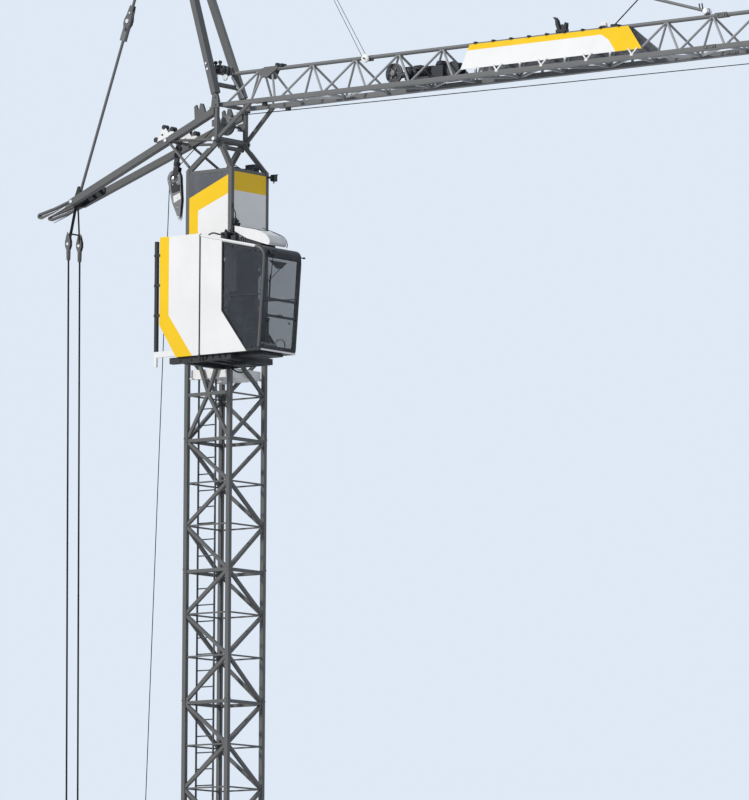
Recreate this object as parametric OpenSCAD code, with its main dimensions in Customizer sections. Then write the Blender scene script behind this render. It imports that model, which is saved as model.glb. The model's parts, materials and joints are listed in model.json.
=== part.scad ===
// Fast-erecting bottom-slewing tower crane at its real size.
// Origin on the slewing axis at ground level, +X along the jib, +Z up.

/* [Undercarriage] */
// Half the distance between the outrigger feet, along X and Y
foot_spread = 2250; // [1900:50:2600]
// Height of the outrigger arms above the ground
arm_clear = 400; // [300:10:600]
// Height of the outrigger arms and of the centre box
arm_h = 360; // [260:10:460]
// Width of an outrigger arm
arm_w = 260; // [200:10:320]
// Distance from the slewing axis to a flat of the eight-sided centre box
chassis_r = 720; // [680:10:900]
// Diameter of the jack spindles
spindle_d = 110; // [80:5:140]
// Diameter of the round foot plates
pad_d = 520; // [400:20:700]
// Thickness of the foot plates
pad_t = 40; // [25:5:70]

/* [Slewing ring] */
// Outer radius of the slewing ring
ring_r = 640; // [600:10:680]
// Radial width of the slewing ring
ring_w = 150; // [110:10:200]
// Thickness of each race of the slewing ring
ring_t = 80; // [60:5:110]
// Running gap between the two races
ring_gap = 0.5; // [0.3:0.1:0.9]

/* [Slewing platform] */
// Height of the platform beams
platform_h = 300; // [220:10:380]
// Width of a platform beam
beam_w = 160; // [120:10:220]
// Reach of the platform behind the slewing axis
platform_rear = 2700; // [2650:10:2900]
// Reach of the platform in front of the slewing axis
platform_front = 1750; // [1650:10:2000]
// Thickness of the tread plate
tread_t = 12; // [8:1:16]
// Width of the tread plate
tread_w = 1560; // [1400:20:1800]
// Number of concrete ballast slabs
slab_count = 6; // [4:1:8]
// Thickness of a ballast slab
slab_h = 400; // [300:10:450]
// Length of a ballast slab along X
slab_x = 1050; // [900:10:1100]
// Length of a ballast slab along Y
slab_y = 2600; // [2200:50:2800]
// Distance from the slewing axis to the back of the ballast
ballast_back = 2500; // [2450:10:2550]
// Radius of the hoist drum under the rope
drum_r = 170; // [150:5:200]
// Length of the hoist drum between its flanges
drum_len = 460; // [360:10:520]

/* [Tower] */
// Distance of the tower axis in front of the slewing axis
tower_x = 900; // [860:10:1000]
// Distance between the axes of the corner chords
tower_w = 1000; // [960:10:1060]
// Width of a square corner chord
chord_w = 80; // [70:2:90]
// Wall of the corner chords
chord_wall = 10; // [6:1:14]
// Height of a tower section
section_h = 2400; // [2250:10:2500]
// Number of whole sections below the cab section
section_count = 7; // [5:1:9]
// Width of a brace
brace_w = 58; // [44:2:58]
// Width of the heavy frame bars at the section joints
frame_w = 60; // [56:2:64]
// Width of the light level bars
light_w = 28; // [22:2:34]
// Height of the cab section, from the last section joint to the top frame
crown_h = 4970; // [4900:10:5100]
// Spacing of the ladder rungs
rung_pitch = 300; // [270:10:320]
// Width of the ladder
ladder_w = 400; // [360:10:420]

/* [Tower head] */
// Height of the jib pivot above the top frame
pivot_h = 570; // [520:10:640]
// Distance of the jib pivot in front of the tower axis
pivot_x = 80; // [40:10:120]
// Width of a leg of the head
head_leg_w = 84; // [70:2:96]
// Diameter of the pivot pins
pivot_pin_d = 60; // [50:2:70]
// Radius at which the hoist rope runs on the head sheave
head_sheave_r = 170; // [150:5:180]

/* [Jib] */
// Number of whole bays from the first top node to the last
jib_bays = 28; // [20:1:29]
// Length of a bay
bay = 1000; // [960:10:1060]
// Height of the top chord above the lower chords, axis to axis
jib_h = 618; // [580:2:680]
// Distance between the axes of the lower chords
jib_w = 680; // [640:10:720]
// Diameter of the top chord
top_chord_d = 76; // [66:2:84]
// Width of a square lower chord
rail_w = 80; // [70:2:90]
// Wall of the jib chords
rail_wall = 8; // [5:1:12]
// Diameter of a lattice bar
web_d = 46; // [40:2:50]
// Height of the lower chord axes above the jib pivot
root_h = 640; // [600:10:700]
// Width of a post of the root frame
post_w = 70; // [60:2:80]

/* [Struts and guys] */
// Height of the mast top above the lower chord axes
mast_h = 4310; // [4000:10:4500]
// Distance of the mast top behind the tower axis
mast_back = 1405; // [1200:10:1600]
// Width of a mast leg
mast_w = 128; // [110:2:144]
// Distance between the mast legs at the top
mast_top_gap = 60; // [56:2:90]
// Distance of the rear strut tip behind the tower axis
strut_back = 3620; // [3500:10:3700]
// Drop of the rear strut from its root to its tip
strut_drop = 1390; // [1200:10:1500]
// Width of a rear strut beam
strut_w = 120; // [100:2:136]
// Diameter of a guy rod
guy_d = 56; // [46:2:64]
// Diameter of the two guy ropes behind the tower
guy_rope_d = 34; // [28:2:40]
// Distance between the two guy ropes
guy_rope_gap = 320; // [280:10:360]
// Diameter of the hoist rope
rope_d = 16; // [12:1:20]
// Radius at which the hoist rope runs on the guide sheave
guide_sheave_r = 130; // [110:5:140]

/* [Cab] */
// Length of the cab floor
cab_l = 1404; // [1350:2:1600]
// How far the windscreen leans forward at the roof
cab_lean = 126; // [80:2:160]
// Width of the cab
cab_w = 1020; // [960:10:1080]
// Height of the cab at the back
cab_h_back = 2200; // [2100:10:2300]
// Height of the cab at the front
cab_h_front = 1900; // [1850:10:2050]
// Thickness of the cab walls
wall_t = 40; // [30:2:50]
// Thickness of the glass
glass_t = 8; // [6:1:12]
// Height of the cab floor above the last section joint
cab_rise = 1360; // [1250:10:1400]
// Distance of the cab's back wall in front of the tower axis
cab_x = 850; // [800:10:900]
// Length of the balcony behind the cab
balcony_l = 950; // [880:10:1000]
// Gap between the cab and the tower
cab_gap = 240; // [200:10:280]
// Thickness of the cab roof
roof_t = 50; // [40:2:70]
// Distance of the side windows in front of the back wall
window_back = 525; // [480:5:600]
// Length of the slanted lower edge of the side windows, along X
window_run = 555; // [480:5:600]
// Height of the knee of the side windows above the cab floor
window_knee = 770; // [700:10:900]
// Width of the windscreen pillars
pillar_w = 70; // [50:2:90]

/* [Trolley and hook] */
// Distance of the trolley in front of the tower axis
trolley_x = 16300; // [14000:100:20000]
// Length of the rope falls between the trolley and the hook block
fall_l = 7000; // [4000:100:9000]
// Diameter of a trolley wheel
wheel_d = 130; // [110:2:150]

/* [Hidden] */
$fn = 48;

// Heights from the ground up
fit = 0.1;
ring_z = arm_clear + arm_h + fit;
platform_z = ring_z + 2 * ring_t + ring_gap;
foot_z = platform_z + platform_h;
ref_z = foot_z + section_count * section_h;
crown_z = ref_z + crown_h;
pivot_z = crown_z + pivot_h;
rail_z = pivot_z + root_h;
top_z = rail_z + jib_h;
cab_z = ref_z + cab_rise;

// Half widths of the tower and of the space between its chords
half = tower_w / 2;
clear_half = half - chord_w / 2;
outer_half = half + chord_w / 2;
slip = 0.3;

// The z axis of the children runs from a to b
module along(a, b) {
    v = b - a;
    translate(a)
        rotate([0, acos(v.z / norm(v)), atan2(v.y, v.x)])
            children();
}

// Square bar from a to b
module bar(a, b, w) {
    along(a, b) translate([-w / 2, -w / 2, 0]) cube([w, w, norm(b - a)]);
}

// Flat strip of width w between two points of a drawing plane
module strip(p, q, w) {
    n = [p[1] - q[1], q[0] - p[0]] * w / (2 * norm(q - p));
    polygon([p + n, p - n, q - n, q + n]);
}

// Flat bar from a to b, w wide in the vertical plane and t thick
module flat_bar(a, b, w, t) {
    along(a, b) translate([-w / 2, -t / 2, 0]) cube([w, t, norm(b - a)]);
}

// Round bar from a to b, drawn as a prism with few sides
module prism_bar(a, b, d, sides = 8) {
    along(a, b) cylinder(d = d, h = norm(b - a), $fn = sides);
}

// True round bar from a to b
module rod(a, b, d) {
    along(a, b) cylinder(d = d, h = norm(b - a));
}

// Box from its lowest to its highest corner
module block(lo, hi) {
    translate(lo) cube(hi - lo);
}

// Cylinder along Y, centred on c
module y_rod(c, d, len) {
    translate(c) rotate([90, 0, 0]) cylinder(d = d, h = len, center = true);
}

// Outline drawn with X and Z as its axes, extruded along Y from y0 to y1
module side_plate(y0, y1) {
    translate([0, y1, 0]) rotate([90, 0, 0]) linear_extrude(y1 - y0) children();
}

module mirror_y() {
    children();
    mirror([0, 1, 0]) children();
}

module at_tower() {
    translate([tower_x, 0, 0]) children();
}

// Undercarriage
arm_end = foot_spread * sqrt(2);
sleeve_d = spindle_d + 110;
collar_h = 60;
jack_top = 120;

module on_diagonals() {
    for (a = [45 : 90 : 315]) rotate(a) children();
}

module chassis() {
    color("dimgray") difference() {
        translate([0, 0, arm_clear])
            rotate(22.5) cylinder(r = chassis_r / cos(22.5), h = arm_h, $fn = 8);
        translate([0, 0, arm_clear - 1])
            cylinder(r = ring_r - ring_w, h = arm_h + 2);
    }
}

module outrigger_arms() {
    color("dimgray") on_diagonals() difference() {
        union() {
            translate([chassis_r, -arm_w / 2, arm_clear])
                cube([arm_end - chassis_r, arm_w, arm_h]);
            translate([arm_end, 0, arm_clear]) cylinder(d = arm_w, h = arm_h);
            translate([arm_end, 0, arm_clear]) cylinder(d = sleeve_d, h = arm_h + 60);
        }
        translate([arm_end, 0, arm_clear - 1])
            cylinder(d = spindle_d + 2 * slip, h = arm_h + 62);
    }
}

module outrigger_jacks() {
    color("silver") on_diagonals() translate([arm_end, 0, 0]) {
        cylinder(d = pad_d, h = pad_t);
        translate([0, 0, pad_t]) cylinder(d1 = spindle_d + 120, d2 = spindle_d + 20, h = 60);
        cylinder(d = spindle_d, h = arm_clear + arm_h + jack_top);
        translate([0, 0, arm_clear - collar_h])
            cylinder(d = sleeve_d, h = collar_h);
    }
}

// Slewing ring
module race(z) {
    translate([0, 0, z]) difference() {
        cylinder(r = ring_r, h = ring_t, $fn = 96);
        translate([0, 0, -1]) cylinder(r = ring_r - ring_w, h = ring_t + 2, $fn = 96);
    }
}

module slewing_ring_fixed() {
    color("slategray") race(ring_z);
}

module slewing_ring_turning() {
    color("gray") race(ring_z + ring_t + ring_gap);
}

// Slewing platform
tread_front = platform_front;
tread_rear = 1400;
cross_x = [-platform_rear + beam_w / 2, -1500, -500, 350, platform_front - beam_w / 2];
beam_h = platform_h - tread_t;

module platform_frame() {
    color("dimgray") {
        mirror_y() block([-platform_rear, half - beam_w / 2, platform_z],
                         [platform_front, half + beam_w / 2, platform_z + beam_h]);
        for (x = cross_x)
            block([x - beam_w / 2, -half, platform_z + 20],
                  [x + beam_w / 2, half, platform_z + beam_h - 20]);
        block([-tread_rear, -tread_w / 2, platform_z + beam_h],
              [tread_front, tread_w / 2, foot_z]);
    }
}

// Ballast slabs, stacked on the rear of the platform beams
slab_gap = 0.5;
slab_chamfer = 30;

module ballast_slabs() {
    color("darkgray") for (i = [0 : slab_count - 1])
        translate([-ballast_back, 0, platform_z + beam_h + i * slab_h])
            side_plate(-slab_y / 2, slab_y / 2)
                polygon([[0, slab_chamfer], [slab_chamfer, 0],
                         [slab_x - slab_chamfer, 0], [slab_x, slab_chamfer],
                         [slab_x, slab_h - slab_gap], [0, slab_h - slab_gap]]);
}

// Hoist winch
drum_x = -tread_rear + 250;
flange_r = drum_r + 80;
winch_z = foot_z + flange_r + 60;
plate_t = 20;

module hoist_drum() {
    color("slategray") {
        y_rod([drum_x, 0, winch_z], 2 * (drum_r - rope_d / 2), drum_len);
        for (s = [-1, 1])
            y_rod([drum_x, s * (drum_len + plate_t) / 2, winch_z], 2 * flange_r, plate_t);
        y_rod([drum_x, 0, winch_z], 60, drum_len + 4 * plate_t);
    }
}

module hoist_winch() {
    cheek_y = drum_len / 2 + plate_t + 8;
    color("dimgray") difference() {
        union() {
            mirror_y() side_plate(cheek_y, cheek_y + plate_t)
                polygon([[drum_x - 200, foot_z], [drum_x + 200, foot_z],
                         [drum_x + 90, winch_z + 90], [drum_x - 90, winch_z + 90]]);
            block([drum_x - 200, -cheek_y - plate_t, foot_z],
                  [drum_x + 200, cheek_y + plate_t, foot_z + 30]);
            y_rod([drum_x, cheek_y + plate_t + 150, winch_z], 300, 300);
            y_rod([drum_x + 230, cheek_y + plate_t + 200, winch_z - 40], 210, 400);
            block([drum_x - 60, cheek_y + plate_t, foot_z],
                  [drum_x + 260, cheek_y + plate_t + 260, winch_z - 60]);
        }
        y_rod([drum_x, 0, winch_z], 60 + 2 * slip, drum_len + 4 * plate_t + 2 * slip);
    }
}

module switch_cabinet() {
    color("whitesmoke") {
        block([-700, -tread_w / 2 + 20, foot_z], [100, -tread_w / 2 + 420, foot_z + 1300]);
        block([-730, -tread_w / 2, foot_z + 1300], [130, -tread_w / 2 + 450, foot_z + 1330]);
    }
}

// Tower levels: three to a section, the first of each three at a section joint.
// The lowest frame lies on the foot plates
level_share = [0, 0.35, 0.675];
foot_plate_w = 180;
foot_plate_t = 25;
lowest_z = foot_z + foot_plate_t + frame_w / 2;
level_z = concat(
    [for (k = [0 : section_count + 1]) for (s = level_share)
        max(lowest_z, foot_z + section_h * (k + s))],
    [crown_z - frame_w / 2]);
last_level = len(level_z) - 1;
ref_level = 3 * section_count;

function lean(i) = (i - ref_level) % 2 == 0 ? -1 : 1;
function joint_level(i) = i % 3 == 0;
function level_bar_w(i) = joint_level(i) ? frame_w : light_w;

// Bars of one tower side, drawn in the XZ plane: the level bars and the zigzag
module level_bars(levels) {
    for (i = levels) {
        w = level_bar_w(i);
        block([-half, -w / 2, level_z[i] - w / 2], [half, w / 2, level_z[i] + w / 2]);
    }
}

module braces() {
    side_plate(-brace_w / 2, brace_w / 2) children();
}

module zigzag(bays, turn = 1) {
    for (i = bays)
        strip([turn * lean(i) * half, level_z[i]], [turn * lean(i + 1) * half, level_z[i + 1]], brace_w);
}

module corner_chords() {
    for (s = [-1, 1]) {
        block([s * half - chord_w / 2, -chord_w / 2, foot_z],
              [s * half + chord_w / 2, chord_w / 2, crown_z]);
        block([s * half - foot_plate_w / 2, -foot_plate_w / 2, foot_z],
              [s * half + foot_plate_w / 2, foot_plate_w / 2, foot_z + foot_plate_t]);
    }
}

module hollow_chords() {
    bore = chord_w - 2 * chord_wall;
    difference() {
        children();
        for (s = [-1, 1])
            block([s * half - bore / 2, -bore / 2, foot_z + foot_plate_t],
                  [s * half + bore / 2, bore / 2, crown_z - frame_w]);
    }
}

// Bottom of the access gap to the balcony, and the splay of the short struts under it
gap_level = ref_level + 2;
fork_half = 300;

module tower_near_side() {
    color("slategray") at_tower() translate([0, -half, 0]) hollow_chords() union() {
        corner_chords();
        level_bars([0 : last_level]);
        block([-half, -frame_w / 2, level_z[ref_level + 1] - frame_w / 2],
              [half, frame_w / 2, level_z[ref_level + 1] + frame_w / 2]);
        braces() {
            zigzag([0 : ref_level - 1]);
            for (s = [-1, 1]) {
                strip([s * half, level_z[ref_level]], [0, level_z[ref_level + 1]], brace_w);
                strip([0, level_z[ref_level + 1]], [s * fork_half, level_z[gap_level]], brace_w);
            }
            zigzag([gap_level + 2 : last_level - 1]);
        }
    }
}

module tower_far_side() {
    color("slategray") at_tower() translate([0, half, 0]) hollow_chords() union() {
        corner_chords();
        level_bars([0 : last_level]);
        braces() zigzag([0 : last_level - 1], turn = -1);
    }
}

// The part of the children between the two chords of a side
module between_chords() {
    intersection() {
        children();
        block([-clear_half, -half, foot_z], [clear_half, half, crown_z]);
    }
}

module tower_front_bracing() {
    color("slategray") at_tower() translate([half, 0, 0]) rotate(90) between_chords() union() {
        level_bars([0 : last_level]);
        braces() {
            zigzag([0 : ref_level - 1], turn = -1);
            zigzag([ref_level : last_level - 1]);
        }
    }
}

module tower_rear_bracing() {
    color("slategray") at_tower() translate([-half, 0, 0]) rotate(90) between_chords() union() {
        level_bars([3 : last_level]);
        braces() zigzag([3 : last_level - 1]);
    }
}

// Ladder inside the tower, bracketed to the frame bars of the near side
ladder_y = -250;
ladder_x = -clear_half + 30;
stringer_w = 40;
stringer_t = 16;
rung_d = 24;
ladder_top = level_z[gap_level + 2];
rung_count = floor((ladder_top - foot_z) / rung_pitch);

module tower_ladder() {
    color("slategray") at_tower() {
        for (x = [ladder_x, ladder_x + ladder_w])
            block([x - stringer_t / 2, ladder_y - stringer_w / 2, foot_z],
                  [x + stringer_t / 2, ladder_y + stringer_w / 2, ladder_top]);
        for (i = [1 : rung_count - 1])
            prism_bar([ladder_x, ladder_y, foot_z + i * rung_pitch],
                      [ladder_x + ladder_w, ladder_y, foot_z + i * rung_pitch], rung_d, 6);
        for (i = [3 : 3 : ref_level]) for (x = [ladder_x, ladder_x + ladder_w])
            block([x - stringer_t / 2, -half + frame_w / 2, level_z[i] - 15],
                  [x + stringer_t / 2, ladder_y, level_z[i] + 15]);
    }
}

// White landing inside the tower, just under the cab deck
landing_half = half - frame_w / 2 - 20;
landing_h = 170;
landing_t = 6;
landing_z = cab_z - 60 - landing_h;
hatch_x = [ladder_x - 40, ladder_x + ladder_w + 40];
hatch_y = [ladder_y - 110, ladder_y + 400];

module landing_platform() {
    deck_z = landing_z + 30;
    wall_z = [deck_z + fit, landing_z + landing_h];
    inner = landing_half - landing_t;
    color("white") at_tower() {
        // Floor plates round the ladder hatch, with a tab at every chord
        for (y = [[-landing_half, hatch_y[0]], [hatch_y[1], landing_half]])
            block([-landing_half, y[0], landing_z], [landing_half, y[1], deck_z]);
        block([hatch_x[1], hatch_y[0] + fit, landing_z], [landing_half, hatch_y[1] - fit, deck_z]);
        for (s = [0, 1]) mirror([s, 0, 0]) mirror_y()
            block([clear_half - 60, clear_half - 20, landing_z], [clear_half, half, deck_z]);
        // Upstands on three sides, open where the ladder passes
        mirror_y() block([-landing_half, inner, wall_z[0]], [landing_half, landing_half, wall_z[1]]);
        block([inner, -inner + fit, wall_z[0]], [landing_half, inner - fit, wall_z[1]]);
        for (y = [[-inner + fit, hatch_y[0]], [hatch_y[1], inner - fit]])
            block([-landing_half, y[0], wall_z[0]], [-inner, y[1], wall_z[1]]);
    }
}

// Cladding of the cab section
panel_t = 8;
front_panel_z = ref_z + 3910;
side_panel_z = ref_z + 3250;

module cladding_panels() {
    face = half + frame_w / 2;
    color("gold") at_tower() {
        block([face, -clear_half, front_panel_z], [face + panel_t, clear_half, crown_z - frame_w]);
        mirror_y() block([-clear_half, face, side_panel_z], [clear_half, face + panel_t, crown_z - frame_w]);
    }
}

// Tower head: four legs from the corners of the tower to the pivot tube
rail_out = jib_w / 2 + rail_w / 2;
post_y = rail_out + post_w / 2;
pivot_tube_d = 2 * pivot_pin_d;
lower_tube_d = 80;
lower_tube_drop = 125;
seat_t = 20;
apex_y = rail_out - head_leg_w / 2;

module head_legs() {
    for (s = [-1, 1]) mirror_y()
        bar([s * half, half, crown_z], [pivot_x, apex_y, pivot_z], head_leg_w);
    y_rod([pivot_x, 0, pivot_z], pivot_tube_d, 2 * rail_out);
}

module tower_head() {
    color("dimgray") at_tower() difference() {
        union() {
            head_legs();
            for (s = [-1, 1]) mirror_y()
                block([s * half - chord_w / 2, half - chord_w / 2, crown_z],
                      [s * half + chord_w / 2, half + chord_w / 2, crown_z + seat_t]);
            y_rod([pivot_x, 0, pivot_z - lower_tube_drop], lower_tube_d, 2 * apex_y);
        }
        block([-2 * half, -2 * half, crown_z - 300], [2 * half, 2 * half, crown_z]);
        mirror_y() block([-half, rail_out, pivot_z - 150], [half, rail_out + 100, pivot_z + 150]);
        y_rod([pivot_x, 0, pivot_z], pivot_pin_d + 2 * slip, 2 * rail_out + 2);
    }
}

// Jib root frame between the pivot, the lower chords, the mast and the rear strut
jib_start = pivot_x + post_w / 2;
post_top = rail_z + rail_w / 2;
strut_root_z = rail_z - 90;
head_sheave_c = [-20, 0, rail_z - 160 - head_sheave_r];
cheek_t = 15;
brace_foot_x = 800;

module jib_root_frame() {
    color("slategray") at_tower() {
        difference() {
            mirror_y() {
                block([pivot_x - post_w / 2, rail_out, pivot_z - 60],
                      [pivot_x + post_w / 2, rail_out + post_w, post_top]);
                bar([pivot_x, rail_out + post_w / 2, pivot_z],
                    [brace_foot_x, jib_w / 2, rail_z - rail_w / 2 + 20], 60);
            }
            mirror_y() block([jib_start, jib_w / 2 - 80, rail_z - rail_w / 2],
                             [2 * brace_foot_x, jib_w / 2 + 80, rail_z + rail_w / 2]);
            block([-200, -rail_out, pivot_z - 200], [pivot_x + 80, rail_out, pivot_z + 90]);
        }
        mirror_y() {
            y_rod([pivot_x, rail_out - 60, pivot_z], pivot_pin_d, 120);
            y_rod([pivot_x, rail_out + post_w + cheek_t, pivot_z], pivot_tube_d, 2 * cheek_t);
            side_plate(rail_out - cheek_t, rail_out)
                polygon([[head_sheave_c.x - 50, head_sheave_c.z - 60], [jib_start, head_sheave_c.z - 90],
                         [jib_start, head_sheave_c.z + 90], [head_sheave_c.x - 50, head_sheave_c.z + 60]]);
        }
        bar([pivot_x, -rail_out, post_top - 30], [pivot_x, rail_out, post_top - 30], 60);
    }
}

module sheave(c, run_r, groove_w, hub_d, hub_w) {
    floor_r = run_r - rope_d / 2;
    y_rod(c, 2 * floor_r, groove_w);
    for (s = [-1, 1])
        y_rod(c + [0, s * (groove_w + 8) / 2, 0], 2 * (run_r + rope_d), 8);
    y_rod(c, hub_d, hub_w);
}

groove = rope_d + 6;

module head_sheave() {
    color("gray") at_tower() {
        sheave(head_sheave_c, head_sheave_r, groove, 110, 100);
        y_rod(head_sheave_c, 50, 2 * (rail_out - cheek_t));
    }
}

// Jib
top_node_0 = 998;
low_node_0 = top_node_0 + bay / 2;
jib_end = top_node_0 + jib_bays * bay;
top_start = 180;
flange_t = 10;
flange_out = 50;
rail_start = 600;

module jib_top_chord() {
    color("slategray") at_tower() difference() {
        union() {
            rod([top_start, 0, top_z], [jib_end, 0, top_z], top_chord_d);
            mirror_y() block([guy_joint.x - 45, guy_eye_t / 2, top_z],
                             [guy_joint.x + 45, guy_eye_t / 2 + 12, guy_joint.z + 50]);
            y_rod(guy_joint, 36, 2 * guy_eye_t + 50);
        }
        rod([top_start - 1, 0, top_z], [jib_end + 1, 0, top_z], top_chord_d - 2 * rail_wall);
    }
}

module jib_lower_chords() {
    bore = rail_w - 2 * rail_wall;
    color("slategray") at_tower() mirror_y() {
        difference() {
            block([jib_start, jib_w / 2 - rail_w / 2, rail_z - rail_w / 2],
                  [jib_end, rail_out, rail_z + rail_w / 2]);
            block([jib_start - 1, jib_w / 2 - bore / 2, rail_z - bore / 2],
                  [jib_end + 1, jib_w / 2 + bore / 2, rail_z + bore / 2]);
        }
        block([brace_foot_x + 120, jib_w / 2 - rail_w / 2, rail_z - rail_w / 2 - flange_t],
              [jib_end, rail_out + flange_out, rail_z - rail_w / 2]);
    }
}

// Bars of the short bay at the jib root, as top and low position along X
root_bars = [[744, 224], [850, 815], [1040, 1383]];

// One inclined side of the jib: a bar down from every top node to each side of it
module side_lattice() {
    difference() {
        union() {
            for (b = root_bars) prism_bar([b[0], 0, top_z], [b[1], jib_w / 2, rail_z], web_d);
            for (k = [1 : jib_bays]) {
                x = top_node_0 + k * bay;
                prism_bar([x, 0, top_z], [x - bay / 2, jib_w / 2, rail_z], web_d);
                if (k < jib_bays)
                    prism_bar([x, 0, top_z], [x + bay / 2, jib_w / 2, rail_z], web_d);
            }
            prism_bar([jib_end - 40, 0, top_z], [jib_end - 40, jib_w / 2, rail_z], web_d);
        }
        rod([0, 0, top_z], [jib_end + bay, 0, top_z], top_chord_d);
        block([0, jib_w / 2 - rail_w / 2, rail_z - rail_w / 2],
              [jib_end + bay, rail_out, rail_z + rail_w / 2]);
        block([0, -100, rail_z - 200], [jib_end + bay, 0, top_z + 200]);
    }
}

module jib_near_lattice() {
    color("lightgray") at_tower() mirror([0, 1, 0]) side_lattice();
}

module jib_far_lattice() {
    color("lightgray") at_tower() side_lattice();
}

module jib_floor_lattice() {
    inner = jib_w / 2 - rail_w / 2;
    color("slategray") at_tower() translate([0, 0, rail_z - web_d / 2]) linear_extrude(web_d)
        intersection() {
            for (k = [0 : jib_bays - 1]) {
                x = low_node_0 + k * bay;
                side = k % 2 == 0 ? 1 : -1;
                translate([x - web_d / 2, -jib_w / 2]) square([web_d, jib_w]);
                if (k < jib_bays - 1)
                    strip([x, -side * jib_w / 2], [x + bay, side * jib_w / 2], web_d);
            }
            translate([0, -inner]) square([jib_end, 2 * inner]);
        }
}

// Mast above the jib root
mast_x = -mast_back;
mast_z = rail_z + mast_h;
mast_leg_y = mast_top_gap / 2 + mast_w / 2;
mast_foot_z = post_top;
mast_tube_d = 120;
mast_tie = 0.085;
mast_shaft = 0.157;
mast_sheave_d = 190;

function mix(a, b, t) = a + (b - a) * t;
mast_foot = [pivot_x + 20, post_y, mast_foot_z];
mast_top = [mast_x, mast_leg_y, mast_z];

// Tube between the mast legs at a share of their length
module mast_cross_tube(share, d) {
    end = mix(mast_foot, mast_top, share);
    prism_bar([end.x, -end.y, end.z], end, d, 12);
}

module mast_frame() {
    color("dimgray") at_tower() {
        difference() {
            for (s = [-1, 1]) {
                foot = [mast_foot.x, s * mast_foot.y, mast_foot.z];
                top = [mast_top.x, s * mast_top.y, mast_top.z];
                bar(mix(foot, top, 0.04), mix(foot, top, 1.016), mast_w);
                bar(foot, mix(foot, top, 0.06), post_w);
            }
            block([-400, -2 * half, mast_foot_z - 200], [400, 2 * half, mast_foot_z]);
        }
        prism_bar([mast_x, -mast_leg_y, mast_z], [mast_x, mast_leg_y, mast_z], mast_tube_d, 12);
        mast_cross_tube(mast_tie, 90);
        mast_cross_tube(mast_shaft, 70);
        shaft = mix(mast_foot, mast_top, mast_shaft);
        for (y = [-80, 30, 140]) y_rod([shaft.x, y, shaft.z], mast_sheave_d, 44);
        for (s = [-1, 1]) side_plate(s * 20 - 7.5, s * 20 + 7.5)
            polygon([[mast_x - 130, mast_z - 78], [mast_x + 130, mast_z - 78],
                     [mast_x + 170, mast_z + 30], [mast_x, mast_z + 90], [mast_x - 170, mast_z - 20]]);
    }
}

// Rear strut behind the jib root, with a runner for the folded mast at its tip
strut_root = [pivot_x - post_w / 2, post_y, strut_root_z];
strut_tip = [-strut_back, 150, strut_root_z - strut_drop];
block_tube = mix(strut_root, strut_tip, 0.33);
toe_w = 80;
toe_l = 760;
toe_drop = 190;
stay_w = 52;

// Bent bar of height h in the XZ plane, round at its free end
module toe_outline(h) {
    bend = [strut_tip.x - 0.5 * toe_l, strut_tip.z - 0.57 * toe_drop];
    tip = [strut_tip.x - toe_l, strut_tip.z - toe_drop];
    strip([strut_tip.x + 40, strut_tip.z + 15], bend, h);
    strip(bend, tip, h);
    for (p = [bend, tip]) translate(p) circle(d = h);
}

module rear_strut() {
    color("dimgray") at_tower() {
        difference() {
            mirror_y() union() {
                bar(strut_root + [60, 0, 0], strut_tip, strut_w);
                side_plate(strut_tip.y - toe_w / 2, strut_tip.y + toe_w / 2)
                    toe_outline(0.9 * strut_w);
            }
            mirror_y() side_plate(0, 2 * strut_tip.y) difference() {
                toe_outline(0.3 * strut_w);
                translate([strut_tip.x - 60, strut_tip.z - 500]) square(1000);
            }
            block([strut_root.x, -2 * half, strut_root_z - 300], [500, 2 * half, strut_root_z + 300]);
        }
        y_rod([strut_tip.x, 0, strut_tip.z], 60, 2 * strut_tip.y);
        y_rod([block_tube.x, 0, block_tube.z], 60, 2 * block_tube.y);
        difference() {
            mirror_y() for (foot = [[-half, half, crown_z + 90], [pivot_x, apex_y, pivot_z]])
                prism_bar(block_tube, foot, stay_w);
            head_legs();
            block([-half - chord_w, -2 * half, crown_z], [0, 2 * half, crown_z + seat_t]);
        }
    }
}

// Guy rods
guy_eye_t = 20;
guy_eye_d = 110;
guy_joint = [10870, 0, top_z + (top_chord_d + guy_eye_d) / 2 + 5];

module eye_end(c, t = guy_eye_t, d = guy_eye_d) {
    y_rod(c, d, t);
}

module jib_guys() {
    a = [mast_x + 130, 0, mast_z + 10];
    color("silver") at_tower() {
        difference() {
            union() {
                rod(a, guy_joint, guy_d);
                eye_end(guy_joint);
                eye_end(a);
            }
            y_rod(guy_joint, 36 + 2 * slip, 400);
            mirror_y() block(guy_joint + [-60, guy_eye_t / 2, -100], guy_joint + [60, 60, 100]);
            y_rod([mast_x, 0, mast_z], mast_tube_d, 400);
            mirror_y() block([mast_x - 200, 12.5, mast_z - 200], [mast_x + 400, 60, mast_z + 200]);
        }
    }
}

module rear_guy() {
    tip = [strut_tip.x, 0, strut_tip.z];
    top = [mast_x - 110, 0, mast_z - 30];
    color("silver") at_tower() difference() {
        union() {
            rod(tip, top, guy_d);
            flat_bar(mix(tip, top, 0.515), mix(tip, top, 0.61), 2 * guy_d, 84);
            y_rod(mix(tip, top, 0.553), guy_d, 150);
            eye_end(tip, d = 130);
            eye_end(top);
        }
        y_rod(tip, 60 + 2 * slip, 400);
        mirror_y() block(tip + [-150, guy_eye_t / 2, -150], tip + [150, 60, 150]);
        y_rod([mast_x, 0, mast_z], mast_tube_d, 400);
        mirror_y() block([mast_x - 400, 12.5, mast_z - 250], [mast_x + 200, 60, mast_z + 200]);
    }
}

// Two guy ropes from the rear strut tip to the back of the platform
socket_d = 64;
fork_z = ref_z + 3900;
anchor_z = platform_z + beam_h - 20;

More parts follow.
